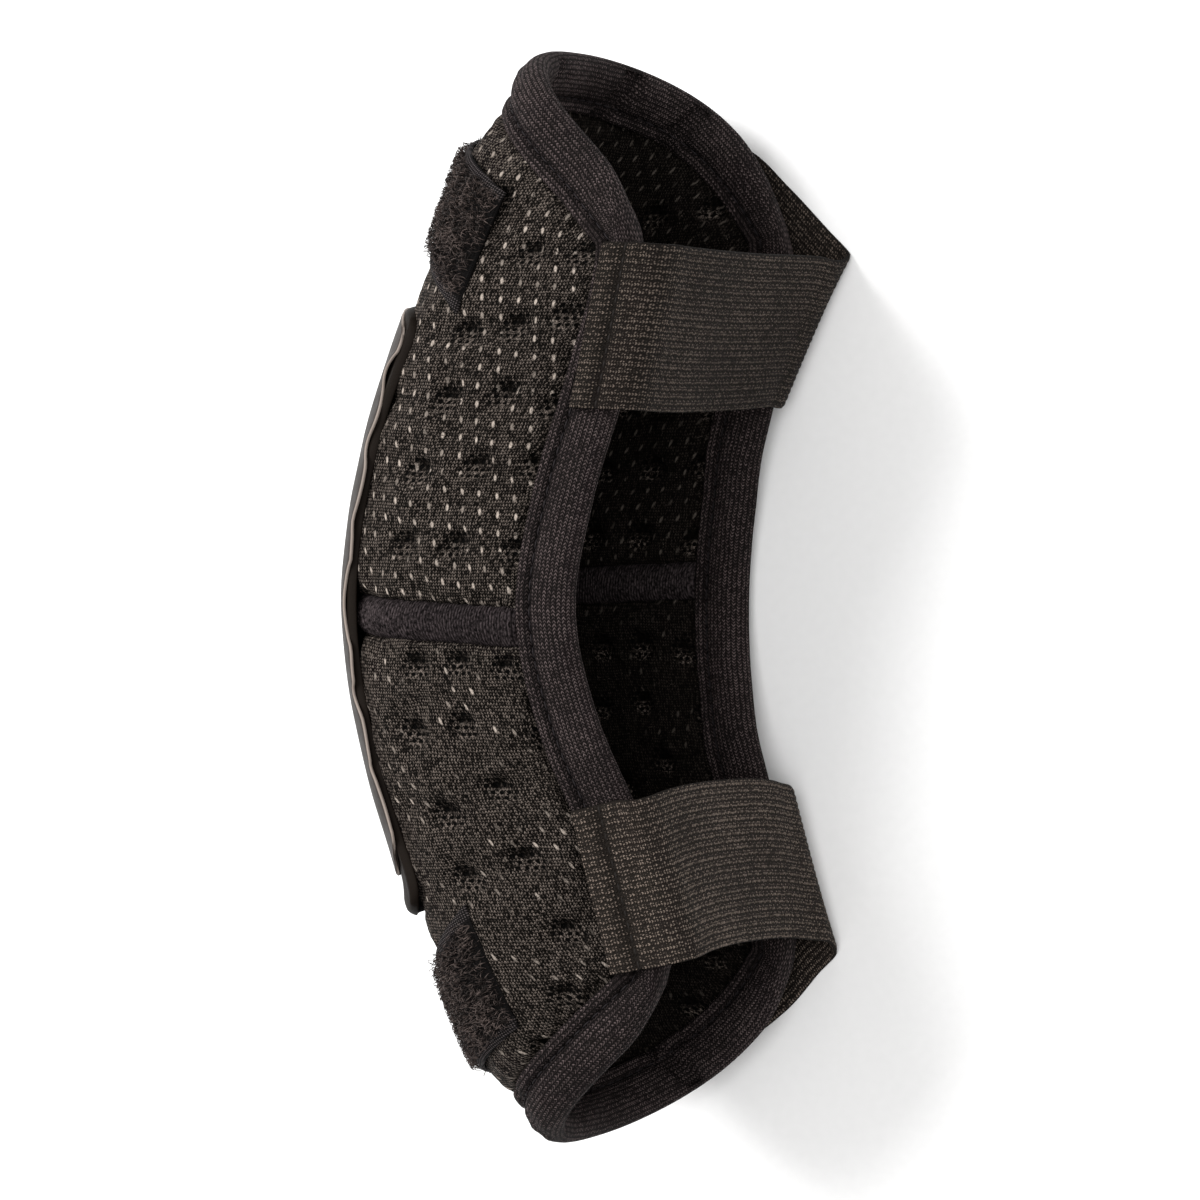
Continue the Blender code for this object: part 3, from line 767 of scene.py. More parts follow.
def tape_weave(name, dark, light):
    """Woven tape under the loop pile, with tight selvedges; away from them it is painted near black as shade
    under the pile.
    """
    made = Finish(name, 0.8, specular=0.045)
    x, y, selvedge = made.attribute("weave")
    over = 1 - abs(made.fract(x / 0.62) - 0.5) * 2
    under = 1 - abs(made.fract(y / 0.62 + made.floor(x / 0.62) * 0.5) - 0.5) * 2
    fine = made.noise(made.vector(x, y, 5.0), 2.5, 2.0)
    thread = over * under
    # Painted shade: the weave shows only at the selvedges and is near black where the pile covers it.
    colour = made.blend(made.between(thread + (fine - 0.5) * 0.4, 0.15, 0.9) * selvedge, dark, light)
    return made.wear(colour, thread, 0.00025, 0.9)


def pile_finish(name, dark, light):
    """Fuzzy nylon loops, each a little lighter or darker."""
    made = Finish(name, 0.6, specular=0.09)
    patch = made.noise(made.place(), 900.0, 2.0, 0.6)
    clump = made.noise(made.place(), 160.0, 2.0)
    colour = made.blend(made.between(patch * 0.7 + clump * 0.3, 0.42, 0.62), dark, light)
    return made.wear(colour, patch, 0.00005, 0.3)


def plain_thread(name, base):
    """Twisted sewing thread."""
    made = Finish(name, 0.6, specular=0.08)
    twist = made.noise(made.place(), 3500.0, 1.0)
    colour = made.blend(twist, tuple(c * 0.5 for c in base), tuple(c * 1.5 for c in base))
    return made.wear(colour, twist, 0.00005, 0.5)


# Sizes and colours


def length_property(name, description, default):
    """A length in metres that a maker may change."""
    return FloatProperty(name=name, description=description, default=default, subtype="DISTANCE")


def colour_property(name, description, default):
    """A colour that a maker may change."""
    return FloatVectorProperty(name=name, description=description, default=default, subtype="COLOR")


class GuardSizes(bpy.types.PropertyGroup):
    """Sizes that a maker may change."""

    tuft_depth: length_property("Tuft depth", "How deep the tufts pull the padding in", 0.0034)
    puff: length_property("Puff", "Most that the padding swells between its tufts", 0.0014)
    pile_loops: IntProperty(name="Pile loops", description="Loops on each loop patch", default=4500)
    pile_height: length_property("Pile height", "Height of the tallest pile loops", 0.0026)
    stitch_step: length_property("Stitch step", "Distance from stitch to stitch", 0.0031)
    film_lift: length_property("Film lift", "How far the film's edge stands off", 0.0005)


class GuardColours(bpy.types.PropertyGroup):
    """Colours of the cloths, the film and the elastic."""

    mesh_dark: colour_property("Mesh, dark", "Depth of the mesh knit", (0.0014, 0.0009, 0.0006))
    mesh_light: colour_property("Mesh, light", "Threads of the mesh knit", (0.150, 0.123, 0.105))
    mesh_dot: colour_property("Mesh, slots", "Pale slots of the mesh", (0.38, 0.325, 0.28))
    binding: colour_property("Binding", "Threads of the edge binding", (0.130, 0.100, 0.098))
    elastic: colour_property("Elastic", "Threads of the straps", (0.180, 0.142, 0.117))
    film: colour_property("Film", "Body of the cap's film", (0.025, 0.019, 0.016))
    pile: colour_property("Pile", "Loops of the loop patches", (0.088, 0.067, 0.060))


# The padding


def edge_rise(distance):
    """Thickness of the padding this far in from a bound side."""
    knots = [0, 14.0, 14.6, 15.6, 18.5, 24.0, 40.0]
    values = [2.0, 2.0, 3.2, 5.4, 7.9, 9.0, 9.0]
    return np.interp(np.asarray(distance) * 1000, knots, values) / 1000


def end_rise(distance):
    """Thickness of the padding this far from the flex band."""
    knots = [0, 0.4, 1.2, 2.6, 4.5, 40.0]
    values = [2.6, 4.6, 6.8, 8.3, 9.0, 9.0]
    return np.interp(np.asarray(distance) * 1000, knots, values) / 1000


def pad_layout(end):
    """(v, h, thickness) of a grid over one half of the wall, from the rim to the flex band."""
    fixed = np.array([2.2, 8.0, 13.9, 14.7, 15.8, 18.0, 21.0, 24.0]) / 1000
    shares = np.linspace(1, 0, 26)[1:]
    near = [("edge", q) for q in fixed] + [("share", s) for s in shares]
    columns = [(-1, *c) for c in near] + [(1, *c) for c in near[-2::-1]]
    side = np.array([c[0] for c in columns])
    on_edge = np.array([c[1] == "edge" for c in columns])
    amount = np.array([c[2] for c in columns])
    rows = [("rim", p) for p in fixed] + [("share", s) for s in np.linspace(1, 0, 36)[1:]]
    rows += [("end", d) for d in (0.0026, 0.0012, 0.0004, 0.0)]
    gap = BAND_WIDTH / 2 - 0.0004
    v_rows, h_rows, thick = [], [], []
    for kind, value in rows:
        v = np.full(len(columns), 0.5 * end)
        for _ in range(5):
            fixed_h = in_from_edge(side, np.where(on_edge, amount, PAD_FULL_IN), v)
            h = np.where(on_edge, fixed_h, fixed_h * amount)
            if kind == "rim":
                v = in_from_rim(end, value, h)
            elif kind == "end":
                v = v_at(band_run(end * (gap + value), h), h)
            else:
                first = look_up(RUN, in_from_rim(end, PAD_FULL_IN, h), h)
                last = band_run(end * (gap + 0.0045), h)
                v = v_at(last + value * (first - last), h)
        if kind == "rim":
            p = np.full(len(columns), value)
            round_v, round_h = spot_near_rim(end, side, p, np.where(on_edge, amount, 0.02))
            v = np.where(on_edge, round_v, v)
            h = np.where(on_edge, round_h, h)
        rim = value if kind == "rim" else PAD_FULL_IN
        end_gap = value if kind == "end" else 0.01
        side_rise = edge_rise(np.where(on_edge, amount, PAD_FULL_IN))
        v_rows.append(v)
        h_rows.append(h)
        thick.append(np.minimum(np.minimum(edge_rise(rim), side_rise), end_rise(end_gap)))
    return np.array(v_rows), np.array(h_rows), np.array(thick)


def tuft_list(end):
    """Tufts of one half on both walls, in metres, with the hidden ones under the cap and patch."""
    near = UPPER_TUFTS if end > 0 else LOWER_TUFTS
    spots = [(x, y) for x, y in near] + [(-x, y) for x, y in near]
    spots += [(x, end * y) for x in (-22, -7, 7, 22) for y in (15, 33, 51, 69, 87)]
    return np.array(spots) / 1000


def tuft_pull(x, y, end, reach):
    """1 at the tufts, falling to 0 at reach from them."""
    total = np.zeros_like(x)
    for k, (tx, ty) in enumerate(tuft_list(end)):
        stretch = 1 + 0.25 * math.sin(5.1 * k)
        away = np.hypot((x - tx) * stretch, (y - ty) / stretch) / reach
        total = np.maximum(total, eased(1 - away))
    return total


def puffed(piece, held, most):
    """Cloth under pressure swells the piece between the held vertices, by no more than most."""
    start = points_of(piece.data)
    group = piece.vertex_groups.new(name="held")
    group.add([int(k) for k in held], 1.0, "REPLACE")
    cloth = piece.modifiers.new("swell", "CLOTH")
    cloth.settings.quality = 4
    cloth.settings.mass = 0.25
    cloth.settings.tension_stiffness = 12
    cloth.settings.compression_stiffness = 12
    cloth.settings.shear_stiffness = 4
    cloth.settings.bending_stiffness = 0.4
    cloth.settings.use_pressure = True
    cloth.settings.uniform_pressure_force = 5.0
    cloth.settings.shrink_min = -0.06
    cloth.settings.vertex_group_mass = "held"
    cloth.settings.effector_weights.gravity = 0
    cloth.collision_settings.use_collision = False
    cloth.point_cache.frame_start = 1
    cloth.point_cache.frame_end = 20
    scene = bpy.context.scene
    for step in range(1, 21):
        scene.frame_set(step)
    graph = bpy.context.evaluated_depsgraph_get()
    moved = points_of(piece.evaluated_get(graph).to_mesh())
    piece.evaluated_get(graph).to_mesh_clear()
    piece.modifiers.remove(cloth)
    scene.frame_set(1)
    change = moved - start
    size = np.linalg.norm(change, axis=1, keepdims=True)
    size[~np.isfinite(size)] = 0
    change[~np.isfinite(change)] = 0
    change *= np.tanh(size / most) * most / np.maximum(size, 1e-9)
    piece.data.vertices.foreach_set("co", (start + change).ravel())
    piece.data.update()


def make_pad(name, end, finish, sizes):
    """One padded half, tufted, swollen by a cloth run and then creased in fine detail."""
    v, h, thick = pad_layout(end)
    x, y = flat_spot(v, h)
    pull = tuft_pull(x, y, end, 0.0062)
    full = np.clip((thick - 0.0055) / 0.0035, 0, 1)
    swell = 0.0004 * noise_field(x, y, 0.022, 11 + end) * full
    out = thick / 2 + swell - pull * full * sizes.tuft_depth * 0.55
    weave = np.stack([x * 1000, y * 1000, pull * full], axis=-1)
    inner = off_wall(v, h, -(thick / 2 - 0.8 * pull * full * sizes.tuft_depth * 0.55))
    piece = two_layers(name, off_wall(v, h, out), inner, finish, weave)
    flange = (thick <= 0.0034).ravel()
    tufted = (pull > 0.62).ravel()
    rim = np.zeros(thick.shape, bool)
    rim[-2:] = True
    held = np.nonzero(flange | tufted | rim.ravel())[0]
    held = np.concatenate([held, held + thick.size])
    puffed(piece, held, sizes.puff)
    smooth = piece.modifiers.new("rounding", "SUBSURF")
    smooth.levels = smooth.render_levels = 2
    apply_all(piece)
    fine_creases(piece, end, sizes)
    return piece


def fine_creases(piece, end, sizes):
    """Sharp dents at the tufts and soft creases between them, and the tuft nearest to each point."""
    mesh = piece.data
    count = len(mesh.vertices)
    points = points_of(mesh)
    kept, normals = np.empty(count * 3), np.empty(count * 3)
    mesh.attributes["weave"].data.foreach_get("vector", kept)
    mesh.vertex_normals.foreach_get("vector", normals)
    kept, normals = kept.reshape(-1, 3), normals.reshape(-1, 3)
    x, y = kept[:, 0] / 1000, kept[:, 1] / 1000
    tufts = tuft_list(end)
    nearest = np.argmin(np.hypot(x[:, None] - tufts[:, 0], y[:, None] - tufts[:, 1]), axis=1)
    dx, dy = (x - tufts[nearest, 0]) * 1000, (y - tufts[nearest, 1]) * 1000
    dent = np.clip(1 - np.hypot(dx / 3.4, (dy - 1.0) / 2.8), 0, 1)
    crease = noise_field(x, y * 0.6, 0.0052, 31 + end) * 0.00020
    crease += noise_field(x, y, 0.0021, 47 + end) * 0.00008
    move = crease - dent**1.2 * sizes.tuft_depth * 0.5
    v, h = laid_flat(x, y)
    middle = off_wall(v, h, np.zeros(count))
    inside = ((points - middle) * look_up(NORMAL, v, h)).sum(axis=1) < 0
    points += normals * move[:, None]
    points[:, 2] = np.maximum(points[:, 2], FLOOR_CLEARANCE)
    mesh.vertices.foreach_set("co", points.ravel())
    # The third number marks points on the inner side, where the mesh knit paints shade.
    made = mesh.attributes.new("tuft", "FLOAT_VECTOR", "POINT")
    made.data.foreach_set("vector", np.column_stack([dx, dy, inside]).astype(np.float32).ravel())
    mesh.update()


def make_flex_band(finish):
    """The stretch rib between the two halves, with its fine ribs across it."""
    edge = np.array([2.2, 8.0, 13.9, 14.2, 14.5, 14.8, 15.1, 15.4, 15.7, 16.0, 16.3, 16.6, 16.9, 17.2]) / 1000
    run = np.concatenate([edge, np.linspace(0.0175, 0.0955, 310)])
    places = np.linspace(-1, 1, 17)
    columns = np.concatenate([-run, run[::-1]])
    side = np.sign(columns)
    v_rows, h_rows = [], []
    for place in places:
        v = np.zeros(len(columns))
        for _ in range(3):
            h = in_from_edge(side, np.abs(columns), v)
            v = v_at(band_run(place * BAND_WIDTH / 2, h), h)
        v_rows.append(v)
        h_rows.append(h)
    v, h = np.array(v_rows), np.array(h_rows)
    x, y = flat_spot(v, h)
    inset = np.abs(columns)[None]
    rise = np.sqrt(np.maximum(1 - (0.97 * places[:, None]) ** 2, 0)) ** 0.8
    bend = 0.3 * np.cos(places[:, None] * 1.4) + 0.25 * noise_field(x, y, 0.006, 9)
    rib = np.sin(2 * math.pi * (x * 1000 / 0.74 + bend))
    fat = np.interp(inset, [0, 0.0139, 0.0146, 0.0156, 0.0175], [0.25, 0.28, 0.5, 0.85, 1.0])
    wave = noise_field(x, y, 0.011, 5) * 0.00022
    half = 0.0041 * rise * fat + fat * rise * (rib * 0.00026 + wave)
    half = np.maximum(half, 0.0007)
    # Painted shade: the valleys between the ribs, which the rib knit darkens.
    valley_shade = np.clip(0.35 - rib * 0.8, 0, 1)
    weave = np.stack([x * 1000, y * 1000, valley_shade], axis=-1)
    outer = off_wall(v, h, half)
    outer[..., 2] = np.maximum(outer[..., 2], FLOOR_CLEARANCE)
    return two_layers("flex_band_rib", outer, off_wall(v, h, -half), finish, weave)


# The edge binding


def binding_spots(inset, step):
    """(v, h) once round the outer edge, this far in from it and about one step apart."""
    spots = []
    rim_count, edge_count, corner_count = int(0.13 / step), int(0.15 / step), int(0.012 / step)
    ease = np.arange(1, corner_count) / corner_count
    for side, end, along_edge in ((1, 1, False), (-1, 1, True), (-1, -1, False), (1, -1, True)):
        order = np.concatenate([-ease[::-1], [0.0], ease])
        slid = inset + np.abs(order) * (CORNER_RADIUS - inset)
        before = order < 0
        on_edge = ~before if along_edge else before
        p = np.where(on_edge, slid, inset)
        q = np.where(on_edge, inset, slid)
        spots.append(spot_near_rim(end, side, p, q))
        if along_edge:
            place = -end * (2 * np.linspace(0, 1, edge_count) - 1)
            v = place.copy()
            for _ in range(3):
                h = in_from_edge(side, inset, v)
                low = in_from_rim(-1, CORNER_RADIUS, h)
                high = in_from_rim(1, CORNER_RADIUS, h)
                v = (low + high) / 2 + place * (high - low) / 2
        else:
            place = side * (1 - 2 * np.linspace(0, 1, rim_count))
            v = np.full(rim_count, float(end))
            for _ in range(3):
                sides = np.where(place >= 0, 1.0, -1.0)
                h = place * np.abs(in_from_edge(sides, CORNER_RADIUS, v))
                v = in_from_rim(end, inset, h)
        spots.append((v, h))
    return np.concatenate([s[0] for s in spots]), np.concatenate([s[1] for s in spots])


def make_binding(finish, sizes):
    """A knit tape folded over the edge: a flat hem, a stitched groove and a soft roll."""
    inward = np.array(
        [14.0, 13.95, 13.6, 13.0, 12.4, 11.8, 11.3, 10.9, 10.6, 10.3, 9.9, 9.3]
        + [8.5, 7.6, 6.6, 5.6, 4.6, 3.6, 2.7, 1.9, 1.2, 0.6, 0.2, 0.0]
    )
    outward = np.array(
        [1.75, 2.55, 2.98, 3.08, 3.10, 3.02, 2.80, 2.45, 2.20, 2.35, 2.75, 3.15]
        + [3.45, 3.66, 3.78, 3.80, 3.72, 3.52, 3.20, 2.75, 2.20, 1.55, 0.80, 0.0]
    )
    slot = [(14.0, -1.7), (8.0, -1.7), (1.7, -1.6), (1.7, 1.6), (8.0, 1.7)]
    profile = list(zip(inward, outward)) + list(zip(inward[-2::-1], -outward[-2::-1])) + slot
    profile = np.array(profile) / 1000
    rings = [binding_spots(float(inset), 0.0011) for inset in profile[:, 0]]
    v = np.array([r[0] for r in rings]).T
    h = np.array([r[1] for r in rings]).T
    middle = off_wall(v[:, 15], h[:, 15], np.zeros(len(v)))
    steps = np.linalg.norm(np.roll(middle, -1, axis=0) - middle, axis=1)
    run = np.concatenate([[0], np.cumsum(steps)])[:-1][:, None]
    face = np.sign(profile[:, 1])[None]
    roll = np.clip(1 - np.abs(profile[:, 0] * 1000 - 5.0) / 5.2, 0, 1)[None] * (profile[:, 0] < 0.0125)
    groove = np.exp(-(((profile[:, 0] - GROOVE_INSET) * 1000 / 0.75) ** 2))[None]
    groove = groove * (np.abs(profile[:, 1]) > 0.0018)
    outside = (np.abs(profile[:, 1]) > 0.00172)[None]
    count = max(1, round(run.max() / sizes.stitch_step))
    tuck = 0.5 - 0.5 * np.cos(2 * math.pi * run / run.max() * count)
    lazy = noise_field(run + 0 * face, profile[None, :, 0] * 3 + face * 0.7, 0.017, 3)
    small = noise_field(run + 0 * face, profile[None, :, 0] * 1.5 + face * 0.3, 0.0046, 8)
    extra = roll * (0.00030 * lazy + 0.00012 * small) - groove * tuck * 0.00035
    extra += outside * 0.00005 * small
    # Painted shade: the creases also darken the binding's colour, carried in the third weave number beside
    # the groove.
    painted_crease_shade = np.zeros_like(extra)
    for end, place, width, depth in BINDING_CREASES:
        away = (h - place) * girth(h, v) * 1000 - (profile[None, :, 0] * 1000 - 6) * 0.55
        near = np.exp(-((away / width) ** 2)) * (v * end > 0.8)
        extra -= outside * near * depth / 1000
        painted_crease_shade = np.maximum(painted_crease_shade, near * np.clip(depth / 7, 0, 0.6))
    points = off_wall(v, h, profile[None, :, 1] + face * extra)
    across = reach_along(profile)[None] * 1000
    weave = np.stack([run * 1000 + 0 * across, across + 0 * run, np.maximum(groove, painted_crease_shade)], axis=-1)
    ring_size = len(profile)
    index = np.arange(len(points) * ring_size).reshape(-1, ring_size)
    a, b = index, np.roll(index, -1, axis=0)
    faces = np.stack([a, b, np.roll(b, -1, axis=1), np.roll(a, -1, axis=1)], axis=-1).reshape(-1, 4)
    return put_together("edge_binding_roll", points.reshape(-1, 3), faces, finish, weave.reshape(-1, 3))


def make_binding_stitches(finish, sizes):
    """Thread stitches in the groove on both faces of the binding."""
    v, h = binding_spots(GROOVE_INSET, 0.0004)
    places = []
    for face in (1, -1):
        line = off_wall(v, h, np.full(len(v), face * 0.00232))
        bare = off_wall(v, h, np.full(len(v), face * 0.00432))
        reach = reach_along(line)
        count = int(reach[-1] / sizes.stitch_step)
        at = (np.arange(count) + 0.5) * reach[-1] / count
        spot = spots_along(line, reach, at)
        over = spots_along(bare, reach, at) - spot
        ahead = spots_along(line, reach, at + 0.0008) - spot
        places.append(places_on(spot, ahead, unit(over)))
    master = stitch_master(0.0024, 0.00042)
    return many_copies("edge_binding_stitches", master, np.concatenate(places), finish)


# The cap


def cap_outline(a, b, inset_side, inset_end):
    """Flat spot of a cap's grid point, a from end to end and b from side to side."""
    p = (1 - np.abs(a)) * CAP_HALF_LONG
    q = (1 - np.abs(b)) * CAP_HALF_WIDE
    p, q = rounded_corner(p, q, CAP_CORNER)
    edge = np.maximum(np.abs(a), np.abs(b)) ** 5
    y = np.sign(a) * (CAP_HALF_LONG - p - inset_end * edge * np.abs(a))
    x = np.sign(b) * (CAP_HALF_WIDE - q - inset_side * edge * np.abs(b))
    return x, y


def make_cap_base(finish):
    """Soft rubber plate of the cap, with a rounded rim that stands a little proud."""
    a, b = np.meshgrid(cap_steps(84), cap_steps(60), indexing="ij")
    x, y = cap_outline(a, b, 0.0, np.where(a < 0, -0.0018, 0.0))
    v, h = laid_flat(x, y)
    rim = np.maximum(np.abs(a), np.abs(b))
    flap = np.clip((-y - 0.054) / 0.014, 0, 1) ** 2 * 0.0012
    bead = np.exp(-(((rim - 0.965) / 0.045) ** 2)) * 0.0006
    fall = np.clip((rim - 0.975) / 0.025, 0, 1) ** 2
    top = 0.0014 + bead - 0.0012 * fall + noise_field(x, y, 0.009, 15) * 0.00006 + flap
    weave = np.stack([x * 1000, y * 1000, rim], axis=-1)
    low = SEAT + 0.0002 * fall + flap
    return two_layers("cap_base_plate", off_wall(v, h, SEAT + top), off_wall(v, h, low), finish, weave)


def cap_steps(count):
    """Grid steps from -1 to 1 that crowd toward both sides."""
    t = np.linspace(-1, 1, count + 1)
    return np.sign(t) * (1 - (1 - np.abs(t)) ** 1.6)


def make_cap_film(finish, sizes):
    """Thin film over the cap, whose cut edge runs in uneven waves and stands a little off."""
    a, b = np.meshgrid(cap_steps(116), cap_steps(54), indexing="ij")
    along = a * np.where(a < 0, FILM_REACH_LOW, FILM_REACH_HIGH) - 0.9
    edge = smooth_through(FILM_EDGE[:, 0], FILM_EDGE[:, 1], np.clip(along, -62, 61)) / 1000
    far_edge = smooth_through(FILM_EDGE[:, 0], FILM_EDGE[:, 1], np.clip(-along, -62, 61)) / 1000
    edge = np.where(b >= 0, edge, far_edge)
    inset_end = 0.0012 * np.sin(b * 7.0 + np.sign(a)) + np.where(a < 0, FILM_INSET_LOW, FILM_INSET_HIGH)
    x, y = cap_outline(a, b, np.clip(CAP_HALF_WIDE - edge - 0.0012, -0.0006, 0.006), inset_end)
    v, h = laid_flat(x, y)
    rim = np.maximum(np.abs(a), np.abs(b)) ** 14
    flutter = 0.5 + 0.5 * np.sin(along / 19.0 * 2 * math.pi + 1.3)
    lift = sizes.film_lift * rim * (0.3 + flutter) + 0.0001 * noise_field(x, y, 0.02, 17)
    low = SEAT + 0.0017 + lift
    turned = np.clip((np.maximum(np.abs(a), np.abs(b)) - 0.985) / 0.015, 0, 1)
    weave = np.stack([x * 1000, y * 1000, turned], axis=-1)
    outer = off_wall(v, h, low + 0.0008 - 0.0002 * turned)
    return two_layers("cap_film_skin", outer, off_wall(v, h, low), finish, weave)


# The loop patches and hook tabs


def bowed(v, h):
    """v of a loop patch's spot, whose inner end bows away from the elbow at the spine."""
    half = (PATCH_NEAR - PATCH_FAR) / 2
    share = (PATCH_LAST - v) / (PATCH_LAST - PATCH_FIRST)
    return v + share * PATCH_SWEEP * (1 - (h / half) ** 2)


def make_patch(word, sign, finish):
    """Woven tape of a loop patch, with its tight selvedges left bare of pile."""
    rows, columns = 40, 90
    v_steps, h_steps = np.linspace(PATCH_FIRST, PATCH_LAST, rows), np.linspace(PATCH_FAR, PATCH_NEAR, columns)
    v, h = np.meshgrid(v_steps, h_steps, indexing="ij")
    from_end = np.minimum(v - PATCH_FIRST, PATCH_LAST - v) * LENGTH / 2 * 1.12
    from_side = np.minimum(h - PATCH_FAR, PATCH_NEAR - h) * 0.0925
    v = sign * bowed(v, h)
    x, y = flat_spot(v, h)
    inset = np.minimum(from_end, from_side)
    rise = 0.0009 + 0.0003 * np.clip(inset / 0.0012, 0, 1) ** 0.5 + 0.00008 * noise_field(x, y, 0.004, 21)
    selvedge = np.clip((0.0036 - from_end) / 0.0006, 0, 1)
    weave = np.stack([x * 1000, y * 1000, selvedge], axis=-1)
    under = off_wall(v, h, np.full(v.shape, SEAT))
    return two_layers(word + "_loop_tape", off_wall(v, h, SEAT + rise), under, finish, weave)


def make_pile(word, sign, finish, sizes):
    """Pile of a loop patch: thousands of fine nylon arches, leaning every way."""
    chance = np.random.default_rng(71 + sign)
    count = sizes.pile_loops
    h = chance.uniform(PATCH_FAR + 0.007, PATCH_NEAR - 0.006, count)
    v = sign * bowed(chance.uniform(PATCH_FIRST + 0.022, PATCH_LAST - 0.018, count), h)
    middle = off_wall(v, h, np.full(count, SEAT + 0.0010))
    normal = unit(look_up(NORMAL, v, h))
    turn = chance.uniform(0, 2 * math.pi, count)
    along = unit(look_up(ALONG, v, h))
    across = unit(np.cross(normal, along))
    ahead = np.cos(turn)[:, None] * along + np.sin(turn)[:, None] * across
    sideways = np.cross(normal, ahead)
    lean = chance.normal(0, 0.55, count)
    tall = sizes.pile_height * chance.uniform(0.45, 1.0, count)
    wide = chance.uniform(0.0006, 0.0013, count)
    thin = chance.uniform(0.00007, 0.00012, count)
    angles = np.linspace(-0.15, math.pi + 0.15, 6)
    ring = np.linspace(0, 2 * math.pi, 4)[:-1]
    points = np.empty((count, len(angles), 3, 3))
    for k, angle in enumerate(angles):
        twist = 0.35 * np.sin(angle * 2 + turn)
        out = np.cos(angle + twist) * wide
        up = np.sin(angle) * tall
        centre = middle + out[:, None] * ahead + up[:, None] * normal
        centre += (lean * up)[:, None] * sideways * 0.7
        tangent = (-np.sin(angle) * wide)[:, None] * ahead + (np.cos(angle) * tall)[:, None] * normal
        first = unit(np.cross(unit(tangent), sideways))
        for m, spin in enumerate(ring):
            rim = math.cos(spin) * first + math.sin(spin) * sideways
            points[:, k, m] = centre + thin[:, None] * rim
    base = np.arange(count)[:, None, None] * (len(angles) * 3)
    k = np.arange(len(angles) - 1)[None, :, None] * 3
    m = np.arange(3)[None, None, :]
    after = (m + 1) % 3
    faces = np.stack([base + k + m, base + k + after, base + k + 3 + after, base + k + 3 + m], axis=-1)
    return put_together(word + "_loop_pile", points.reshape(-1, 3), faces.reshape(-1, 4), finish)


def make_hook_tab(word, sign, finish):
    """Moulded hook plate on the patch: modelled flat, bevelled, then laid on the wall."""
    bpy.ops.object.select_all(action="DESELECT")
    bpy.ops.mesh.primitive_grid_add(x_subdivisions=24, y_subdivisions=30, size=1)
    plate = bpy.context.object
    plate.name = word + "_hook_plate"
    plate.data.name = plate.name
    bpy.ops.object.mode_set(mode="EDIT")
    bpy.ops.mesh.select_all(action="SELECT")
    bpy.ops.transform.resize(value=(TAB_SIZE[0], TAB_SIZE[1], 1.0), center_override=(0, 0, 0))
    bpy.ops.mesh.extrude_region_move(TRANSFORM_OT_translate={"value": (0, 0, TAB_SIZE[2])})
    bpy.ops.mesh.select_all(action="SELECT")
    bpy.ops.mesh.normals_make_consistent(inside=False)
    bpy.ops.object.mode_set(mode="OBJECT")
    edge = plate.modifiers.new("edge", "BEVEL")
    edge.width = 0.0004
    edge.segments = 2
    edge.limit_method = "ANGLE"
    apply_all(plate)
    mesh = plate.data
    points = points_of(mesh)
    v_centre, h_centre = TAB_PLACE[0] * sign, TAB_PLACE[1]
    x_centre, y_centre = flat_spot(np.array([v_centre]), np.array([h_centre]))
    dimple = 0.00012 * np.sin(points[:, 0] / 0.0016 * math.pi) * np.sin(points[:, 1] / 0.0016 * math.pi)
    v, h = laid_flat(points[:, 0] + x_centre[0], points[:, 1] + y_centre[0])
    high = SEAT + 0.0016 + 0.0004 + points[:, 2] + dimple * (points[:, 2] > 0.0009)
    mesh.vertices.foreach_set("co", off_wall(v, h, high).ravel())
    mesh.polygons.foreach_set("use_smooth", np.ones(len(mesh.polygons), bool))
    mesh.materials.clear()
    mesh.materials.append(finish)
    mesh.update()
    return plate


# The straps


def strap_line(path, step):
    """Centres, width directions and length of a strap along its path."""
    centres = path[:, :3] * np.array([DEPTH, LENGTH / 2, WIDTH / 2])
    knots = reach_along(centres)
    reach = np.linspace(0, knots[-1], int(knots[-1] / step) + 1)
    line = smooth_through(knots, centres, reach)
    line[:, 2] = np.maximum(line[:, 2] + MIDDLE_HEIGHT, STRAP_THICKNESS / 2)
    turn, lean = np.radians(smooth_through(knots, path[:, 3:5], reach)).T
    wide = np.column_stack([np.cos(lean) * np.sin(turn), np.cos(lean) * np.cos(turn), np.sin(lean)])
    return line - CENTRE, wide, reach


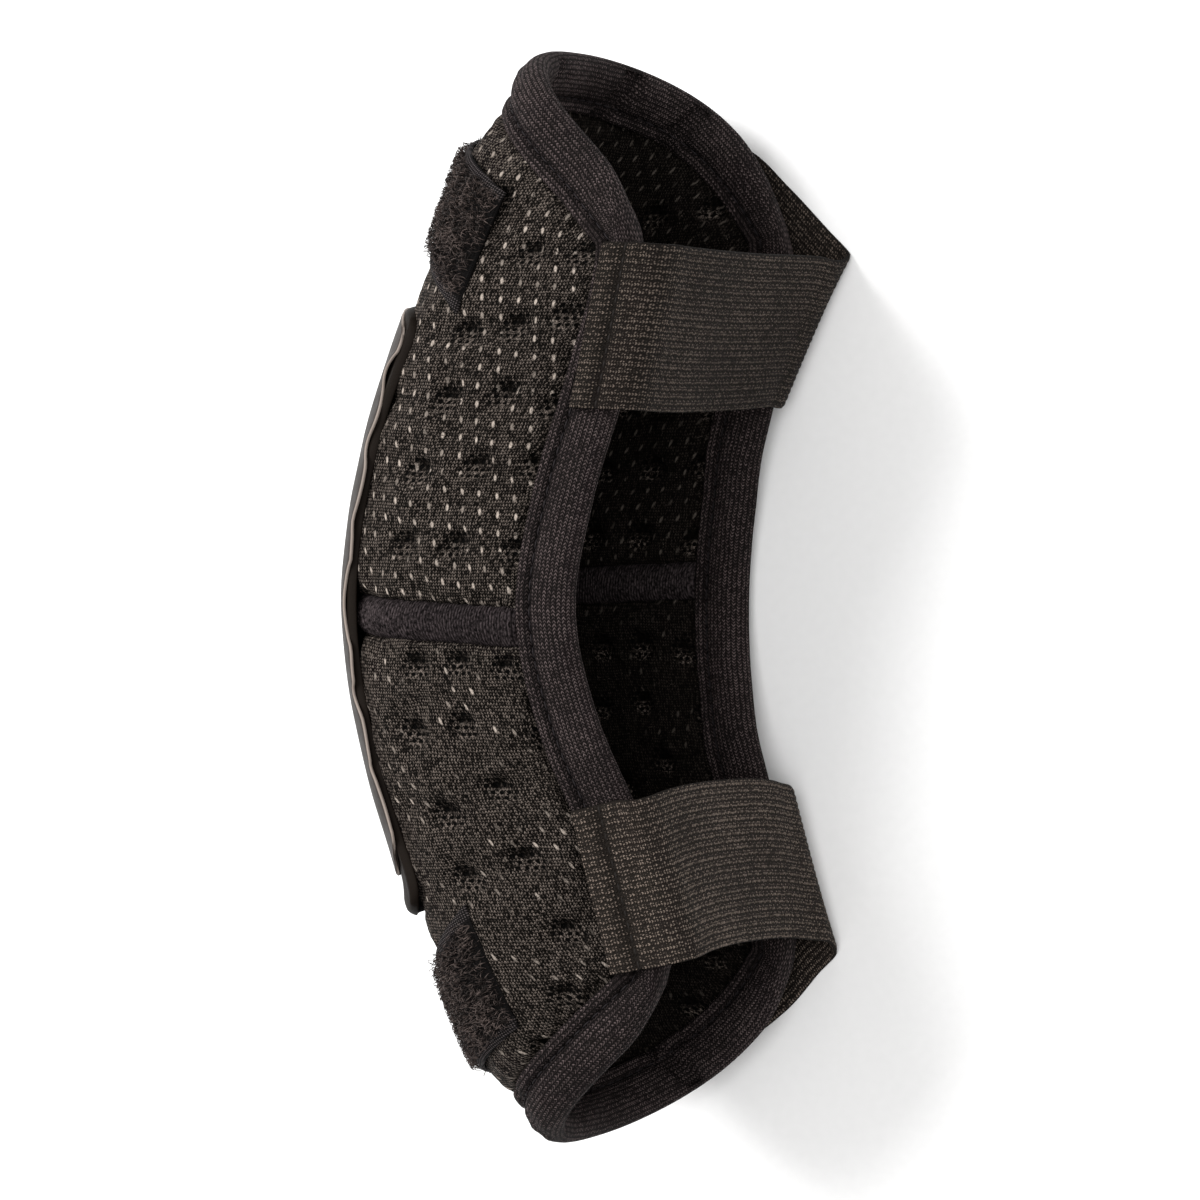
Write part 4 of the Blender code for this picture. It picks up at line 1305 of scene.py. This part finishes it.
def strap_grid(path):
    """Middle layer of a strap and its normals: the sewn end lies on what is under it."""
    line, wide, reach = strap_line(path, 0.0011)
    ahead = np.gradient(line, axis=0)
    normal = unit(-np.cross(wide, ahead))
    soft = normal.copy()
    for _ in range(6):
        soft[1:-1] = (soft[:-2] + soft[1:-1] * 2 + soft[2:]) / 4
    soft = unit(soft)
    flat = line[:, 2] <= STRAP_THICKNESS / 2 + 1e-6
    soft[flat] = normal[flat]
    across = np.linspace(-1, 1, STRAP_CORDS * 5 + 1)
    grid = line[:, None] + across[None, :, None] * (STRAP_WIDTH / 2) * wide[:, None]
    tree = kdtree.KDTree(ROWS * HALF)
    for k, spot in enumerate(WALL[:, HALF - 1 :].reshape(-1, 3)):
        tree.insert(spot, k)
    tree.balance()
    normals = np.repeat(soft[:, None], len(across), axis=1)
    under = NORMAL[:, HALF - 1 :].reshape(-1, 3)
    held = np.nonzero(reach < SEWN_LENGTH)[0]
    for i in held:
        share = eased((1 - reach[i] / SEWN_LENGTH) * 1.8)
        for j in range(len(across)):
            spot, k, _ = tree.find(grid[i, j])
            inset = (1 - (k % HALF) / (HALF - 1)) * GIRTH[k // HALF, 1] * 1000
            height = np.interp(inset, [0, 5, 11, 15, 18.5, 24], [4.2, 4.6, 4.1, 4.1, 4.9, 5.5]) / 1000
            off = float(np.dot(grid[i, j] - np.array(spot), under[k]))
            grid[i, j] += under[k] * (height - off) * share
            normals[i, j] += (under[k] - normals[i, j]) * share
    for _ in range(3):
        part = grid[held[0] : held[-1] + 2]
        part[1:-1, 1:-1] = (part[:-2, 1:-1] + part[2:, 1:-1] + part[1:-1, :-2] + part[1:-1, 2:]) / 4
    return grid, unit(normals), across, reach


def make_strap(word, path, finish, thread):
    """A ribbed elastic strap: its sewn end is turned under, and a stitch line holds it."""
    grid, normals, across, reach = strap_grid(path)
    s = reach[:, None] * 1000
    y = across[None] * STRAP_WIDTH / 2 * 1000
    ripple = np.cos(2 * math.pi * y / CORD_PITCH) * np.ones_like(s)
    selvedge = np.clip((np.abs(across) - 0.955) / 0.02, 0, 1)[None]
    edge_fall = np.clip((np.abs(across) - 0.93) / 0.07, 0, 1)[None] ** 2
    half = 0.00068 + 0.00010 * ripple * (1 - selvedge) - 0.00032 * edge_fall
    hem_at = [0, 0.5, 1.4, 3.2, 4.8, 5.7, 6.2, 6.7, 7.6, 9.5, 11.5]
    hem = np.interp(s, hem_at, [0.5, 1.5, 2.0, 2.1, 1.9, 1.0, 0.2, 0.7, 1.0, 0.7, 0])
    stitch_dip = np.exp(-(((s - SEWN_LINE) / 0.5) ** 2)) * (0.5 - 0.5 * np.cos(2 * math.pi * y / 2.4)) * 0.25
    top = half + (hem - stitch_dip) * 0.001 * (1 - 0.25 * edge_fall)
    outer = grid + top[..., None] * normals
    inner = grid - half[..., None] * normals
    sewn = 0.9 * np.exp(-(((s - SEWN_LINE) / 0.45) ** 2)) + 0 * y
    weave = np.stack([s + 0 * y, y + 0 * s, sewn], axis=-1)
    piece = two_layers(word + "_strap_elastic", outer, inner, finish, weave)
    row = int(round(SEWN_LINE / 1000 / (reach[1] - reach[0])))
    columns = np.linspace(4, len(across) - 5, 13).round().astype(int)
    spots = grid[row, columns] + normals[row, columns] * 0.00125
    directions = np.gradient(grid[row], axis=0)[columns]
    places = places_on(spots, directions, normals[row, columns])
    stitches = many_copies(word + "_strap_stitches", stitch_master(0.0023, 0.00050), places, thread)
    return piece, stitches, reach[-1]


# Operators


def settle(piece, slot, *nodes):
    """The piece rides on the guard and stands for these solids, which are hidden; the slot is not used."""
    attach(piece, "root")
    if nodes:
        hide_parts(*nodes)


class GUARD_OT_pads(bpy.types.Operator):
    """Make the two padded halves"""

    bl_idname = "guard.pads"
    bl_label = "Padded halves"

    def execute(self, context):
        sizes, colours = context.scene.guard_sizes, context.scene.guard_colours
        dark, light, dot = (tuple(c) for c in (colours.mesh_dark, colours.mesh_light, colours.mesh_dot))
        for word, end, shown, fuzz, seed in (("upper", 1, 0.36, 0.55, 3.0), ("lower", -1, 0.14, 0.80, 6.0)):
            bright = 1.0 if end > 0 else 1.04
            tone = tuple(c * bright for c in light)
            knit = mesh_knit(word + "_mesh", dark, tone, dot, shown, fuzz, seed)
            pad = make_pad(word + "_padding", end, knit, sizes)
            settle(pad, "mesh_cloth", word + "_pad")
        return {"FINISHED"}


class GUARD_OT_flex_band(bpy.types.Operator):
    """Make the stretch rib between the halves"""

    bl_idname = "guard.flex_band"
    bl_label = "Flex band"

    def execute(self, context):
        band = make_flex_band(rib_knit("black_rib_knit", (0.001, 0.0007, 0.0007), (0.079, 0.063, 0.065)))
        settle(band, "rib_cloth", "flex_band")
        return {"FINISHED"}


class GUARD_OT_edge_binding(bpy.types.Operator):
    """Make the binding round the outer edge, with its stitches"""

    bl_idname = "guard.edge_binding"
    bl_label = "Edge binding"

    def execute(self, context):
        sizes, colours = context.scene.guard_sizes, context.scene.guard_colours
        light = tuple(colours.binding)
        roll = make_binding(binding_knit("black_binding_knit", tuple(c * 0.05 for c in light), light), sizes)
        settle(roll, "binding_cloth", "edge_binding")
        thread = plain_thread("black_thread", (0.0145, 0.012, 0.013))
        settle(make_binding_stitches(thread, sizes), "binding_cloth")
        return {"FINISHED"}


class GUARD_OT_cap(bpy.types.Operator):
    """Make the cap's rubber plate and its film"""

    bl_idname = "guard.cap"
    bl_label = "Elbow cap"

    def execute(self, context):
        sizes, colours = context.scene.guard_sizes, context.scene.guard_colours
        rubber = rubber_finish("brown_black_rubber", (0.0080, 0.0058, 0.0044))
        settle(make_cap_base(rubber), "cap_rubber", "cap_base")
        film = film_finish("satin_film", tuple(colours.film), (0.24, 0.20, 0.175))
        settle(make_cap_film(film, sizes), "cap_plastic", "cap_film")
        return {"FINISHED"}


class GUARD_OT_loop_patches(bpy.types.Operator):
    """Make the loop patches with their pile"""

    bl_idname = "guard.loop_patches"
    bl_label = "Loop patches"

    def execute(self, context):
        sizes, colours = context.scene.guard_sizes, context.scene.guard_colours
        light = tuple(colours.pile)
        tape = tape_weave("loop_tape_weave", (0.004, 0.0035, 0.0035), (0.095, 0.080, 0.080))
        loops = pile_finish("loop_pile_fuzz", tuple(c * 0.1 for c in light), light)
        for word, sign in (("upper", 1), ("lower", -1)):
            settle(make_patch(word, sign, tape), "loop_pile", word + "_loop_patch")
            settle(make_pile(word, sign, loops, sizes), "loop_pile")
        return {"FINISHED"}


class GUARD_OT_hook_tabs(bpy.types.Operator):
    """Make the hook plates that hold the straps' ends"""

    bl_idname = "guard.hook_tabs"
    bl_label = "Hook tabs"

    def execute(self, context):
        plastic = rubber_finish("hook_plate_plastic", (0.009, 0.0085, 0.0085))
        for word, sign in (("upper", 1), ("lower", -1)):
            settle(make_hook_tab(word, sign, plastic), "hook_plastic", word + "_hook_tab")
        return {"FINISHED"}


class GUARD_OT_straps(bpy.types.Operator):
    """Make the two elastic straps"""

    bl_idname = "guard.straps"
    bl_label = "Elastic straps"

    def execute(self, context):
        light = tuple(context.scene.guard_colours.elastic)
        thread = plain_thread("elastic_thread", (0.013, 0.011, 0.010))
        # Painted light: the same elastic is made lighter on the lower strap, 1.30, as lit, and darker on the
        # upper strap, 0.88, as shaded.
        kinds = (("upper", UPPER_STRAP_PATH, 2.0, 0.88), ("lower", LOWER_STRAP_PATH, 5.0, 1.30))
        for word, path, seed, bright in kinds:
            tone = tuple(c * bright for c in light)
            weave = elastic_weave(word + "_elastic_weave", tuple(c * 0.05 for c in tone), tone, seed)
            strap, stitches, length = make_strap(word, path, weave, thread)
            settle(strap, "black_elastic", word + "_strap")
            settle(stitches, "black_elastic")
        return {"FINISHED"}


class GUARD_OT_stage(bpy.types.Operator):
    """Set the pale floor, the soft light and the camera"""

    bl_idname = "guard.stage"
    bl_label = "Floor, light and camera"

    def execute(self, context):
        scene = context.scene
        bpy.ops.object.select_all(action="DESELECT")
        bpy.ops.mesh.primitive_plane_add(size=6.0, location=(0, 0, 0))
        floor = context.object
        floor.name = "pale_floor"
        paper = Finish("pale_paper", 0.9, specular=0.1)
        grain = paper.noise(paper.place(), 400.0, 2.0)
        paper.wear(paper.blend(grain, (0.88, 0.88, 0.88), (0.92, 0.92, 0.92)), grain, 0.00005, 0.1)
        floor.data.materials.append(paper.material)
        floor.location = (0, 0, -0.00002)
        world = bpy.data.worlds.new("soft_room")
        world.use_nodes = True
        world.node_tree.nodes["Background"].inputs["Color"].default_value = (1.0, 0.99, 0.98, 1)
        world.node_tree.nodes["Background"].inputs["Strength"].default_value = 0.52
        scene.world = world
        for name, place, size, power in (
            ("key_softbox", (-0.75, 0.55, 1.20), 0.9, 29.0),
            ("front_softbox", (0.55, 0.10, 1.35), 0.9, 13.0),
        ):
            data = bpy.data.lights.new(name, "AREA")
            data.shape = "SQUARE"
            data.size = size
            data.energy = power
            lamp = bpy.data.objects.new(name, data)
            lamp.location = place
            lamp.rotation_mode = "QUATERNION"
            lamp.rotation_quaternion = (Vector((0, 0, 0.04)) - Vector(place)).to_track_quat("-Z", "Y")
            scene.collection.objects.link(lamp)
        back = Vector((0.4843, 0.0436, 0.8738)).normalized()
        right = Vector((0.8746, 0.0, -0.4848))
        right = (right - back * right.dot(back)).normalized()
        up = back.cross(right)
        middle = Vector((-0.000228, -0.001690, 0.0485)) + right * 0.00588 + up * 0.00118
        lens = bpy.data.cameras.new("photo_camera")
        lens.sensor_width = 36.0
        lens.lens = 140.25
        lens.clip_start = 0.05
        camera = bpy.data.objects.new("photo_camera", lens)
        camera.matrix_world = Matrix.Translation(middle + back * 1.1) @ Matrix(
            ((right.x, up.x, back.x, 0), (right.y, up.y, back.y, 0), (right.z, up.z, back.z, 0), (0, 0, 0, 1))
        )
        scene.collection.objects.link(camera)
        scene.camera = camera
        scene.view_settings.view_transform = "Standard"
        return {"FINISHED"}


STEPS = (
    GUARD_OT_pads,
    GUARD_OT_flex_band,
    GUARD_OT_edge_binding,
    GUARD_OT_cap,
    GUARD_OT_loop_patches,
    GUARD_OT_hook_tabs,
    GUARD_OT_straps,
    GUARD_OT_stage,
)


class GUARD_PT_panel(bpy.types.Panel):
    """Lists the steps that build the guard"""

    bl_idname = "GUARD_PT_panel"
    bl_label = "Elbow Guard"
    bl_space_type = "VIEW_3D"
    bl_region_type = "UI"
    bl_category = "Elbow Guard"

    def draw(self, context):
        for group in (context.scene.guard_sizes, context.scene.guard_colours):
            for name in group.__annotations__:
                self.layout.prop(group, name)
        for step in STEPS:
            self.layout.operator(step.bl_idname)


CLASSES = (GuardSizes, GuardColours, *STEPS, GUARD_PT_panel)


def register():
    for made in CLASSES:
        bpy.utils.register_class(made)
    bpy.types.Scene.guard_sizes = PointerProperty(type=GuardSizes)
    bpy.types.Scene.guard_colours = PointerProperty(type=GuardColours)


def unregister():
    del bpy.types.Scene.guard_sizes
    del bpy.types.Scene.guard_colours
    for made in reversed(CLASSES):
        bpy.utils.unregister_class(made)


def main():
    register()
    bpy.ops.guard.pads()
    bpy.ops.guard.flex_band()
    bpy.ops.guard.edge_binding()
    bpy.ops.guard.cap()
    bpy.ops.guard.loop_patches()
    bpy.ops.guard.hook_tabs()
    bpy.ops.guard.straps()
    bpy.ops.guard.stage()


if __name__ == "__main__":
    main()
